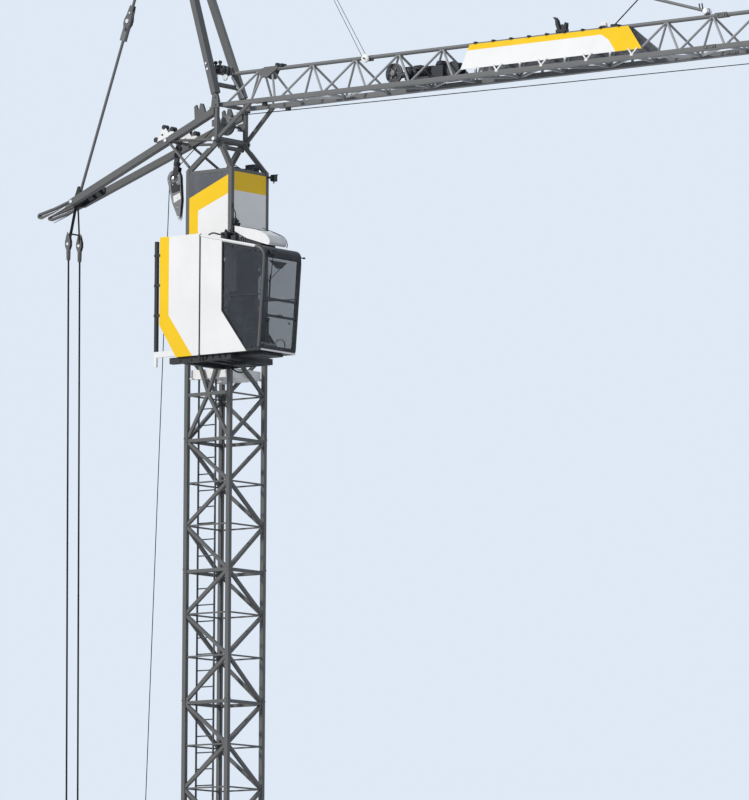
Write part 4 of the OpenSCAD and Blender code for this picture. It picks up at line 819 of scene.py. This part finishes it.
# Head, mast and strut
def head_pins():
    """Bright pivot pins with their keeper plates, and the pins of the strut and its stays."""
    pins = Kit("bright_pins", "spindle_steel")
    plates = Kit("pin_keepers", "frame_grey")
    y = 0.38 + 0.07 + 0.03
    for s in SIDES:
        pins.pin((0.08, s * (y + 0.015), PIVOT_Z), 0.075, 0.07)
        plates.plate([(0.08 + dx, s * (y + 0.004), PIVOT_Z + dz) for dx, dz in
                      ((-0.03, -0.085), (0.03, -0.085), (0.04, -0.05), (-0.04, -0.05))], 0.012)
        pins.pin((-0.075, s * 0.40, 6.115), 0.07, 0.16)
        pins.pin((STRUT_TIP.x + 0.03, s * STRUT_TIP.y, STRUT_TIP.z + 0.02), 0.07, 0.16)
        pins.pin((-1.165, s * 0.33, 5.63), 0.07, 0.16)


def strut_brackets():
    """The roller bracket and the antler bracket on both strut beams."""
    body = Kit("strut_roller_plates", "white_paint", 0.002)
    rollers = Kit("strut_rollers", "dark_steel")
    antler = Kit("strut_antlers", "frame_grey", 0.003)
    roller_plate = ((-1.42, 5.60), (-1.30, 5.74), (-1.24, 5.86), (-1.16, 5.86), (-1.10, 5.77), (-1.02, 5.80),
                    (-0.96, 5.77), (-1.02, 5.72))
    antler_plate = ((-0.44, 5.90), (-0.46, 6.19), (-0.41, 6.22), (-0.38, 6.13), (-0.34, 6.13), (-0.32, 6.24),
                    (-0.26, 6.23), (-0.22, 6.14), (-0.18, 6.0))
    for s in SIDES:
        y = s * 0.335
        for dy in (-0.05, 0.05):
            body.plate(side_view(y + dy, roller_plate), 0.01)
        for x, z, d, length in ((-1.40, 5.66, 0.10, 0.13), (-1.21, 5.88, 0.09, 0.13),
                                (-1.02, 5.83, 0.09, 0.13), (-1.24, 5.74, 0.035, 0.14)):
            rollers.pin((x, y, z), d, length)
        antler.plate(side_view(s * 0.40, antler_plate), 0.05)


def strut_tip_plates():
    """Dark box plates between the beams at the strut tip, the cheek plates of the rear guy, and bright steel
    strips along the toe slot that are a painted highlight.
    """
    kit = Kit("strut_tip_plates", "dark_steel", 0.003)
    run = (STRUT_ROOT - STRUT_TIP).normalized()
    a, b = STRUT_TIP + run * 0.08, STRUT_TIP + run * 0.62
    cheek = ((-3.72, 4.66), (-3.52, 4.63), (-3.50, 4.80), (-3.53, 5.02), (-3.58, 5.02), (-3.66, 4.82))
    for s in SIDES:
        y = s * (STRUT_TIP.y - 0.068)
        kit.plate([(a.x, y, a.z - 0.09), (b.x, y + s * 0.03, b.z - 0.07), (b.x, y + s * 0.03, b.z + 0.07),
                   (a.x, y, a.z + 0.09)], 0.012)
        kit.plate(side_view(s * 0.034, cheek), 0.014)
    for share in (0.16, 0.34, 0.52):
        p = STRUT_TIP + run * share
        kit.bar((p.x, -STRUT_TIP.y, p.z + 0.03), (p.x, STRUT_TIP.y, p.z + 0.03), 0.05, 0.05)

    # Bright steel strips along both edges of the toe slot: a painted highlight on the slot's inner edges
    highlight_strips = Kit("toe_slot_highlight_strips", "spindle_steel")
    for s in SIDES:
        toe = side_view(s * (STRUT_TIP.y + 0.041), ((-3.75, 4.63), (-4.02, 4.525), (-4.36, 4.42)))
        for p, q in zip(toe, toe[1:]):
            highlight_strips.bar(p, q, 0.018, 0.004)


def guy_fittings():
    """Eye plates, nuts and pins of the rear guy's joint and of the sockets of the guy ropes."""
    eyes = Kit("guy_eye_plates", "frame_grey", 0.002)
    pins = Kit("guy_pins", "spindle_steel")
    tip = Vector((STRUT_TIP.x, 0, STRUT_TIP.z))
    guy = MAST_TOP + Vector((-0.11, 0, -0.03)) - tip
    run = guy.normalized()
    side = Vector((run.z, 0, -run.x))
    joint = tip + run * (guy.length * 0.556 + 0.13)
    widths = ((-0.20, 0.035), (-0.14, 0.05), (-0.05, 0.085), (0.03, 0.085), (0.12, 0.06), (0.30, 0.04))
    outline = [joint + run * t + side * w for t, w in widths]
    outline += [joint + run * t - side * w for t, w in widths[::-1]]
    for y in (-0.036, 0.036):
        eyes.plate([(p.x, y, p.z) for p in outline], 0.014)
    pins.pin((joint.x, 0, joint.z), 0.085, 0.12)
    pins.pin((joint.x + run.x * 0.16, 0, joint.z + run.z * 0.16), 0.04, 0.10)
    x = STRUT_TIP.x - 0.065
    socket = [(0.026, 0), (0.038, 0.03), (0.042, 0.17), (0.036, 0.22), (0.024, 0.25)]
    eye = [(x + dx, z) for dx, z in ((-0.03, 3.82), (0.03, 3.82), (0.062, 3.90), (0.062, 3.98), (0.03, 4.10),
                                     (0.0, 4.16), (-0.03, 4.10), (-0.062, 3.98), (-0.062, 3.90))]
    for s in SIDES:
        y = s * 0.16
        eyes.turned((x, y, 3.62), Z_AXIS, socket, 14)
        for dy in (-0.028, 0.028):
            eyes.plate(side_view(y + dy, eye), 0.012)
        pins.pin((x, y, 3.93), 0.062, 0.085)


def guide_block_details():
    """Axle caps, keeper bolts, a bare pale plate on the near cheek, the shackle and the links."""
    caps = Kit("guide_block_caps", "spindle_steel")
    centre = at(-1.25, 0, 4.97)
    for s in SIDES:
        caps.turned(centre + Y_AXIS * s * 0.052, Y_AXIS * s, [(0.036, 0), (0.03, 0.02), (0.012, 0.024)], 18)
        for dx, dz in round_spots(6, 0.115, 20):
            caps.stud(centre + Vector((dx, s * 0.038, dz)), Y_AXIS * s, 0.011, 0.01)
    caps.pin((-1.125, 0, 4.235), 0.05, 0.10)
    for x, z in ((-1.16, 4.60), (-1.15, 4.42)):
        caps.pin((x, 0, z), 0.022, 0.10)
    plate = Kit("guide_block_plate", "white_paint")
    plate.plate(side_view(-0.0395, ((-1.26, 4.64), (-1.10, 4.69), (-1.075, 4.58), (-1.245, 4.51))), 0.003)
    shackle = Kit("guide_block_shackle", "spindle_steel")
    shackle.ring((-1.125, 0, 4.215), 0.036, 0.02, steps=24)
    shackle.pin((-1.125, 0, 4.245), 0.03, 0.11)
    links = Kit("guide_block_links", "dark_steel", 0.002)
    for s in SIDES:
        links.ring(centre + Y_AXIS * s * 0.040, 0.082, 0.016, steps=32)
    upper = ((-1.31, 4.98), (-1.25, 5.14), (-1.20, 5.20), (-1.13, 5.16), (-1.17, 4.98))
    lower = ((-1.325, 4.88), (-1.29, 4.70), (-1.10, 4.73), (-1.10, 4.85), (-1.16, 4.84), (-1.20, 4.88))
    for s in SIDES:
        y = s * 0.045
        links.plate(side_view(y, upper), 0.012)
        links.plate(side_view(s * 0.042, lower), 0.008)
        for x, z, d in ((-1.205, 5.24, 0.09), (-1.185, 5.40, 0.11), (-1.17, 5.52, 0.09)):
            links.pin((x, y, z), d, 0.03)


def mast_foot_details():
    """Guards, knobs and washers of the three small sheaves between the mast legs, and the foot plates."""
    dark = Kit("mast_sheave_guards", "dark_steel", 0.003)
    bright = Kit("mast_sheave_pins", "spindle_steel")
    foot = Vector((0.10, 0.415, RAIL_Z + 0.04))
    leg = Vector((MAST_TOP.x, 0.094, MAST_TOP.z)) - foot
    shaft = foot + leg * 0.157
    guard = ((-0.08, -0.02), (-0.04, -0.075), (0.05, -0.075), (0.08, 0.02), (0.03, 0.08), (-0.05, 0.08))
    for y in (-0.13, -0.03, 0.085, 0.19):
        dark.plate([(shaft.x + dx, y, shaft.z + dz) for dx, dz in guard], 0.014)
    for x in (-0.135, -0.03):
        dark.bar((x, -0.2, 6.86), (x, -0.2, 7.0), 0.03, 0.03)
        dark.pin((x, -0.2, 7.005), 0.065, 0.05)
    dark.bar((-0.20, -0.2, 6.865), (0.06, -0.2, 6.85), 0.06, 0.06)
    dark.bar((-0.11, -0.2, 6.72), (-0.11, -0.2, 6.85), 0.03, 0.02)
    dark.bar((0.10, -0.2, 6.70), (0.02, -0.2, 6.85), 0.03, 0.02)
    for x, z, d in ((-0.108, 6.724, 0.09), (0.11, 6.705, 0.12)):
        bright.pin((x, -0.22, z), d, 0.035)
    for t in (0.150, 0.175):
        p = foot + leg * t
        bright.pin((p.x - 0.01, -0.40, p.z), 0.05, 0.1)
        bright.pin((p.x - 0.01, 0.31, p.z), 0.06, 0.12)
    rod = Kit("mast_prop_bar", "galvanised")
    rod.bar((-0.076, 0.2, 6.78), (0.204, 0.2, 6.364), 0.03, 0.03)
    plates = Kit("mast_foot_plates", "frame_grey", 0.002)
    outline = ((-0.03, 6.12), (0.16, 6.12), (0.13, 6.34), (0.06, 6.40), (0.0, 6.36))
    for s in SIDES:
        plates.plate(side_view(s * 0.455, outline), 0.012)
        for z in (6.17, 6.31):
            plates.bolt((0.08, s * 0.462, z), Y_AXIS * s, 0.014, 0.016)


def mast_top_details():
    """Cross pins, cap plates and guy pins at the tip of the mast."""
    pins = Kit("mast_top_pins", "spindle_steel")
    caps = Kit("mast_top_caps", "frame_grey", 0.003)
    x, z = MAST_TOP.x, MAST_TOP.z
    for dx, dz, d, length in ((0, 0, 0.08, 0.36), (0.13, 0.01, 0.05, 0.12), (-0.11, -0.03, 0.05, 0.12)):
        pins.pin((x + dx, 0, z + dz), d, length)
    for s in SIDES:
        caps.block((x - 0.022, s * 0.094, z + 0.07), (0.14, 0.135, 0.012))
        caps.stud((x, s * 0.158, z), Y_AXIS * s, 0.075, 0.012, 20)


# Jib
def jib_root_details():
    """Gussets, bolts and knobs on the first bay, and the erecting sheave with its two thin ropes."""
    gusset = Kit("jib_root_gussets", "frame_grey", 0.002)
    outline = ((0.765, 6.79), (0.765, 6.74), (0.90, 6.64), (1.03, 6.63), (1.12, 6.72), (1.207, 6.80),
               (1.207, 6.845), (0.90, 6.845))
    for s in SIDES:
        gusset.plate([(x, s * (0.042 + max(0.0, TOP_Z - z) * (JIB_HALF / JIB_HIGH)), z) for x, z in outline],
                     0.014, Vector((0, s * JIB_HIGH, JIB_HALF)))
        for x in (0.86, 1.02, 1.14):
            gusset.bolt((x, s * 0.055, 6.79), (0, s, 0.5), 0.012, 0.014)

    knobs = Kit("jib_root_knobs", "dark_steel", 0.004)
    knobs.pin((1.177, 0, TOP_Z + 0.07), 0.07, 0.10)
    knobs.bar((1.177, 0, TOP_Z), (1.177, 0, TOP_Z + 0.08), 0.05, 0.05)
    knobs.pin((1.31, 0, TOP_Z + 0.055), 0.05, 0.14)
    knobs.bar((1.24, 0, TOP_Z + 0.04), (1.34, 0, TOP_Z + 0.04), 0.05, 0.10)

    place = at(3.268, -0.07, 6.776)
    wheel = Kit("erecting_sheave", "white_paint")
    wheel.sheave(place + Y_AXIS * 0.03, -Y_AXIS, 0.066, 0.078, 0.060, 0.054, 0.02, 24)
    hub = Kit("erecting_sheave_bracket", "dark_steel", 0.003)
    hub.pin(place, 0.028, 0.12)
    hub.block(place + Vector((0.07, 0.05, 0.0)), (0.16, 0.03, 0.10))
    high = on_guy(1.469)
    ropes = Kit("erecting_ropes", "wire_rope")
    for dx, dy in ((-0.055, -0.07), (0.03, -0.05)):
        ropes.tube((3.268 + dx, dy, 6.79), (high.x + dx * 0.4, dy * 0.4, high.z), 0.010, 6)
    clamp = Kit("guy_rope_clamp", "frame_grey", 0.004)
    run = (GUY_END - GUY_TOP).normalized()
    middle = at(high.x, 0, high.z)
    clamp.bar(middle - run * 0.16, middle + run * 0.16, 0.10, 0.07)
    clamp.pin(middle, 0.05, 0.12)


def guy_couplings():
    """Forked couplings that join the rods of the jib guy, one rod length apart, and the guy's end pin."""
    forks = Kit("jib_guy_couplings", "frame_grey", 0.003)
    prong = Kit("guy_end_prongs", "dark_steel")
    pins = Kit("jib_guy_pins", "spindle_steel")
    run = (GUY_END - GUY_TOP).normalized()
    for share in (0.28, 0.52, 0.76):
        p = GUY_TOP + (GUY_END - GUY_TOP) * share
        middle = at(p.x, 0, p.z)
        for y in (-0.034, 0.034):
            forks.bar(middle - run * 0.17 + Y_AXIS * y, middle + run * 0.17 + Y_AXIS * y, 0.085, 0.014)
        for t in (-0.10, 0.10):
            pins.pin(middle + run * t, 0.04, 0.11)
    end = at(*GUY_END)
    pins.pin(end, 0.11, 0.15)
    for dx in (-0.16, -0.10):
        prong.bar(end + Vector((dx, 0.02, 0.03)), end + Vector((dx - 0.03, 0.02, 0.16)), 0.018, 0.018)


def jib_top_details():
    """The dark forked bracket, the pale sheave and the prop on the top chord."""
    fork = Kit("folding_fork", "dark_steel", 0.003, (TOWER_X, 0, REF_Z + TOP_Z + 0.03))
    fork.box((7.57, -0.045, 0), (7.80, 0.045, 0.06))
    horn = ((7.60, 0.05), (7.66, 0.05), (7.62, 0.16), (7.60, 0.23), (7.55, 0.29), (7.50, 0.29),
            (7.55, 0.24), (7.56, 0.15))
    stub = ((7.71, 0.05), (7.79, 0.05), (7.80, 0.17), (7.77, 0.18), (7.74, 0.12), (7.71, 0.15),
            (7.68, 0.14))
    for y in (-0.03, 0.03):
        for outline in (horn, stub):
            fork.plate(side_view(y, outline), 0.022)
    wheel = Kit("top_chord_sheave", "white_paint")
    wheel.sheave((8.61, 0.03, TOP_Z + 0.075), -Y_AXIS, 0.055, 0.066, 0.05, 0.06, 0.02, 24)
    prop = Kit("guy_prop", "dark_steel")
    prop.block((8.61, 0, TOP_Z + 0.045), (0.10, 0.10, 0.03))
    prop.block((8.84, 0, TOP_Z + 0.05), (0.12, 0.07, 0.04))
    end = on_guy(9.43)
    prop.tube((8.85, 0, TOP_Z + 0.06), (end.x, 0, end.z - 0.01), 0.024, 8)


def jib_panel_brackets():
    """White V brackets under the side panels at every low node, and clips on their top edge."""
    vees = Kit("panel_vee_brackets", "white_paint", 0.002)
    clips = Kit("panel_top_clips", "dark_steel", 0.002)
    for s in SIDES:
        for k in range(5, 9):
            x = FIRST_NODE + 0.5 + k
            for dx in (-0.10, 0.10):
                vees.bar((x, s * 0.372, RAIL_Z + 0.035), (x + dx, s * 0.345, RAIL_Z + 0.155), 0.028, 0.016)
            vees.bar((x - 0.03, s * 0.374, RAIL_Z + 0.03), (x + 0.03, s * 0.374, RAIL_Z + 0.03), 0.04, 0.02)
        for i in range(9):
            x = 5.75 + 0.40 * i
            clips.bar((x, s * 0.035, TOP_Z + 0.035), (x + 0.045, s * 0.035, TOP_Z + 0.035), 0.022, 0.07)
            clips.bar((x + 0.02, s * 0.07, TOP_Z + 0.03), (x + 0.02, s * 0.095, TOP_Z + 0.01), 0.014, 0.03)


def jib_joints():
    """Pinned joints between the jib's sections: paired lugs on all three chords."""
    lugs = Kit("jib_joint_lugs", "frame_grey", 0.003)
    pins = Kit("jib_joint_pins", "sheave_grey")
    for x in (11.2, 17.15, 23.15):
        for y, z, half in ((0, TOP_Z, 0.038), (-JIB_HALF, RAIL_Z, 0.04), (JIB_HALF, RAIL_Z, 0.04)):
            for dy in (-half - 0.008, half + 0.008):
                lugs.bar((x - 0.13, y + dy, z), (x + 0.13, y + dy, z), 0.085, 0.014)
            for dx in (-0.07, 0.07):
                pins.pin((x + dx, y, z), 0.034, 2 * half + 0.06)


def trolley_winch_details():
    """Rim, hub and bolts of the big disc, fins of the motor, turns of rope on the drum, guards and hoses."""
    disc = at(FIRST_NODE + 2.92, -0.038, RAIL_Z + 0.262)
    drum = at(FIRST_NODE + 4.3, 0, RAIL_Z + 0.203)
    grey = Kit("winch_disc_rim", "sheave_grey")
    for s in SIDES:
        grey.ring(disc + Y_AXIS * s * 0.014, 0.178, 0.022, steps=40)
        grey.ring(disc + Y_AXIS * s * 0.014, 0.115, 0.012, steps=32)
    grey.turned(disc - Y_AXIS * 0.014, -Y_AXIS, [(0.07, 0), (0.07, 0.02), (0.05, 0.05), (0.02, 0.054)], 20)
    for x, z in round_spots(6, 1):
        grey.stud(disc + Vector((0.148 * x, -0.014, 0.148 * z)), -Y_AXIS, 0.011, 0.012)
        spoke = [disc + Vector((r * x, -0.02, r * z)) for r in (0.05, 0.11)]
        grey.bar(*spoke, 0.02, 0.02)

    dark = Kit("trolley_winch_fittings", "dark_steel", 0.003, (disc.x + 0.33, 0, disc.z - 0.04))
    for i in range(12):
        dark.stud((0.20 + 0.03 * i, 0, 0), X_AXIS, 0.112, 0.012, 24)
    dark.turned((0.63, 0, 0), X_AXIS, [(0.10, 0), (0.105, 0.02), (0.09, 0.06), (0.05, 0.075)])
    dark.block((0.28, -0.09, 0.085), (0.16, 0.12, 0.07))
    dark.block((0.02, 0, 0), (0.10, 0.24, 0.24))
    dark.turned((0.06, -0.12, 0), -Y_AXIS, [(0.09, 0), (0.09, 0.03), (0.06, 0.05)])
    dark.sweep([(0.28, -0.15, 0.1), (0.45, -0.2, 0.05), (0.62, -0.16, -0.12), (0.8, -0.1, -0.2)], 0.024)
    for s in SIDES:
        dark.ring(drum + Y_AXIS * s * 0.102, 0.14, 0.016, steps=32)
    dark.box(drum + Vector((-0.46, -0.13, -0.16)), drum + Vector((-0.20, 0.13, 0.10)))
    dome = [(0.10, 0), (0.11, 0.03), (0.08, 0.09), (0.03, 0.10)]
    dark.turned(drum + Vector((-0.33, 0, 0.10)), Z_AXIS, dome, 18)
    rope = Kit("trolley_rope_turns", "wire_rope")
    rope.ring(drum - Y_AXIS * 0.082, 0.1245, 0.011, turns=14, pitch=0.0117, steps=20, sides=6)


def jib_end_details():
    """The trolley's own hauling rope along the jib, its return sheave, the end beam and the buffers."""
    rope = Kit("trolley_hauling_rope", "wire_rope")
    end_x = JIB_END - 0.29
    for y in (-0.12, 0.12):
        rope.tube((5.30, y, RAIL_Z + 0.065), (end_x, y, RAIL_Z + 0.065), 0.010, 6)
    wheel = Kit("trolley_return_sheave", "sheave_grey")
    wheel.sheave((end_x, 0, RAIL_Z + 0.045), Z_AXIS, 0.128, 0.132, 0.118, 0.04, 0.014, 28)
    wheel.pin((end_x, 0, RAIL_Z + 0.06), 0.04, 0.09, Z_AXIS)
    beam = Kit("jib_end_beam", "frame_grey", 0.003)
    beam.bar((JIB_END - 0.07, -0.33, RAIL_Z), (JIB_END - 0.07, 0.33, RAIL_Z), 0.07, 0.06)
    beam.block((JIB_END - 0.20, 0, RAIL_Z + 0.035), (0.32, 0.16, 0.014))
    beam.block((JIB_END - 0.115, 0, RAIL_Z - 0.022), (0.07, 0.05, 0.05))
    buffers = Kit("jib_end_buffers", "seat_fabric", 0.006)
    for y in (-JIB_HALF, JIB_HALF):
        buffers.block((JIB_END - 0.05, y, RAIL_Z - 0.075), (0.08, 0.08, 0.06))
        buffers.block((1.15, y, RAIL_Z - 0.085), (0.08, 0.08, 0.06))


def trolley_details():
    """Wheel caps of the trolley, and the hook block's hub caps, bolts, nut and safety latch."""
    wheels = Kit("trolley_wheel_caps", "sheave_grey")
    for sx, sy in CORNERS:
        wheel = at(16.3 + sx * 0.4, sy * 0.405, RAIL_Z + 0.025)
        cap = [(0.035, 0), (0.035, 0.05), (0.02, 0.055)]
        wheels.turned(wheel + Y_AXIS * sy * 0.04, Y_AXIS * sy, cap, 14)
        wheels.ring(wheel - Y_AXIS * sy * 0.016, 0.066, 0.012, steps=24)
    lo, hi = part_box("hook_block")
    hook = Kit("hook_latch", "spindle_steel", origin=((lo.x + hi.x) / 2, 0, lo.z))
    hook.turned((0, 0, 0.28), Z_AXIS, [(0.05, 0), (0.055, 0.02), (0.055, 0.05), (0.035, 0.07)], 16)
    hook.bar((0.02, 0, 0.22), (0.105, 0, 0.10), 0.014, 0.03)
    hook.pin((0.02, 0, 0.225), 0.02, 0.06)
    for s in SIDES:
        hook.turned((0, s * 0.036, 0.608), Y_AXIS * s, [(0.046, 0), (0.046, 0.012), (0.03, 0.022)])
        for x, z in ((-0.105, 0.668), (0.105, 0.668), (-0.085, 0.458), (0.085, 0.458)):
            hook.bolt((x, s * 0.036, z), Y_AXIS * s, 0.012, 0.014)


# Platform and undercarriage
def hoist_details():
    """Rope turns on the hoist drum, motor fins and the bolts of its gear."""
    drum = (-1.4 + 0.25, 0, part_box("platform_frame")[1].z + 0.25 + 0.06)
    rope = Kit("hoist_rope_turns", "wire_rope", origin=drum)
    rope.ring((0, -0.222, 0), 0.170, 0.016, turns=26, pitch=0.0168, steps=26, sides=6)
    motor = Kit("hoist_motor_fins", "frame_grey", 0.002, drum)
    for i in range(14):
        motor.stud((0.23, 0.40 + 0.022 * i, -0.04), Y_AXIS, 0.118, 0.009, 24)
    motor.turned((0, 0.578, 0), Y_AXIS, [(0.13, 0), (0.12, 0.02), (0.05, 0.03)], 22)
    for x, z in round_spots(8, 0.135):
        motor.stud((x, 0.578, z), Y_AXIS, 0.012, 0.012)
    motor.block((0.23, 0.5, 0.09), (0.12, 0.14, 0.06))


def platform_details():
    """Doors, grips, hinges and slots of the switch cabinet, and the ballast's lifting eyes."""
    lo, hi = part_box("switch_cabinet")
    width, high = (hi.x - lo.x - 0.06) / 2, hi.z - lo.z
    doors = Kit("cabinet_doors", "white_paint", 0.004, lo)
    trim = Kit("cabinet_trim", "dark_steel", 0.002, lo)
    for x, grip, edge in ((0.035, width - 0.05, 0.02), (0.035 + width, 0.05, width - 0.02)):
        doors.box((x + 0.012, 0.008, 0.06), (x + width - 0.012, 0.022, high - 0.09))
        trim.block((x + grip, 0, 0.65), (0.022, 0.02, 0.14))
        for z in (0.25, 1.0):
            trim.tube((x + edge, 0.004, z), (x + edge, 0.004, z + 0.09), 0.018, 8)
        for k in range(6):
            trim.block((x + width / 2, 0.006, 0.16 + 0.022 * k), (0.22, 0.008, 0.007))

    eyes = Kit("ballast_eyes", "galvanised", origin=GROUND)
    lo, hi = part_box("ballast_slabs")
    for x in (lo.x + 0.25, hi.x - 0.25):
        for y in (lo.y + 0.45, hi.y - 0.45):
            eyes.sweep([(x + dx, y, hi.z + dz) for dx, dz in
                        ((-0.06, -0.02), (-0.055, 0.05), (0, 0.095), (0.055, 0.05), (0.06, -0.02))], 0.022)


def undercarriage_details():
    """Stiffeners and bolts round the chassis, pins at the outrigger arms and nuts on the jacks."""
    ribs = Kit("chassis_ribs", "frame_grey", 0.003, GROUND, "undercarriage")
    nuts = Kit("jack_nuts", "spindle_steel", 0.0, GROUND, "undercarriage")
    bolts = Kit("slewing_ring_bolts", "galvanised", 0.0, GROUND, "undercarriage")
    for out_x, out_y in round_spots(4, 1, 45):
        out, side = Vector((out_x, out_y, 0)), Vector((-out_y, out_x, 0))
        for s in SIDES:
            base = out * 0.74 + side * s * 0.145
            rib = ((0, 0.41), (0.34, 0.41), (0.34, 0.47), (0, 0.74))
            ribs.plate([base + out * r + Z_AXIS * z for r, z in rib], 0.016, side)
            for r in (1.2, 2.0, 2.7):
                spot = out * r + side * s * 0.130 + Z_AXIS * 0.58
                ribs.turned(spot, side * s, [(0.028, 0), (0.028, 0.012), (0.018, 0.02)], 14)
        jack = out * 2.25 * math.sqrt(2)
        nuts.turned(jack + Z_AXIS * 0.82, Z_AXIS, [(0.088, 0), (0.088, 0.045), (0.075, 0.055)], 6)
        nuts.bar(jack + Z_AXIS * 0.855 - side * 0.2, jack + Z_AXIS * 0.855 + side * 0.2, 0.024, 0.024)
        for x, y in round_spots(6, 0.21):
            nuts.stud(jack + Vector((x, y, 0.04)), Z_AXIS, 0.016, 0.012)
    for x, y in round_spots(36, 0.60):
        bolts.stud((x, y, 0.735), Z_AXIS, 0.014, 0.022)


for make in (tower_joints, tower_cable, crown_fittings, cladding_rivets, cab_edges, window_details,
             windscreen_details, roof_details, cab_inside, cab_seat, cab_underside, balcony_details,
             landing_bolts, head_pins, strut_brackets, strut_tip_plates, guy_fittings, guide_block_details,
             mast_foot_details, mast_top_details, jib_root_details, guy_couplings, jib_top_details,
             jib_panel_brackets, jib_joints, trolley_winch_details, jib_end_details, trolley_details,
             hoist_details, platform_details, undercarriage_details):
    make()
pieces = {kit.name: kit.piece() for kit in KITS}

# The seat's pads are soft, and the cushion stands for the plain seat of the CAD
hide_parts("cab_seat")


# Floor, light and background
def add_floor():
    mesh = bpy.data.meshes.new("floor")
    r = 280.0
    mesh.from_pydata([(-r, -r, 0), (r, -r, 0), (r, r, 0), (-r, r, 0)], [], [(0, 1, 2, 3)])
    floor = bpy.data.objects.new("floor", mesh)
    bpy.context.scene.collection.objects.link(floor)
    s = Shade("mat_floor", 0.0, 0.8)
    s.put(Base_Color=s.ramp(s.noise(0.3, 4), [(0.3, (0.62, 0.63, 0.64)), (0.7, (0.68, 0.69, 0.70))]))
    s.bump(s.noise(4, 5), 0.05, 0.01)
    mesh.materials.append(s.mat)


def add_light():
    """Soft light from the sky, which the camera, mirrors and glass see brighter, and a low sun."""
    world = bpy.data.worlds.new("studio")
    bpy.context.scene.world = world
    world.use_nodes = True
    t = Tree(world.node_tree)
    t.tree.nodes.clear()
    lit, seen = (t.node("ShaderNodeBackground", [("Color", colour), ("Strength", strength)]).outputs[0]
                 for colour, strength in (((0.84, 0.90, 1.0), 0.5), ((0.74, 0.82, 0.92), 1.0)))
    path = t.node("ShaderNodeLightPath").outputs
    direct = t.math("MAXIMUM", path["Is Camera Ray"], path["Is Glossy Ray"])
    direct = t.math("MAXIMUM", direct, path["Is Transmission Ray"])
    mix = t.node("ShaderNodeMixShader", enumerate((direct, lit, seen)))
    t.node("ShaderNodeOutputWorld", [("Surface", mix.outputs[0])])
    sun = bpy.data.lights.new("key", "SUN")
    sun.energy = 2.2
    sun.angle = math.radians(4)
    sun.color = (1.0, 0.97, 0.92)
    lamp = bpy.data.objects.new("key", sun)
    lamp.rotation_mode = "QUATERNION"
    lamp.rotation_quaternion = Vector((0.42, 0.78, -0.46)).to_track_quat("-Z", "Y")
    bpy.context.scene.collection.objects.link(lamp)


add_floor()
add_light()
bpy.context.scene.view_settings.view_transform = "Standard"
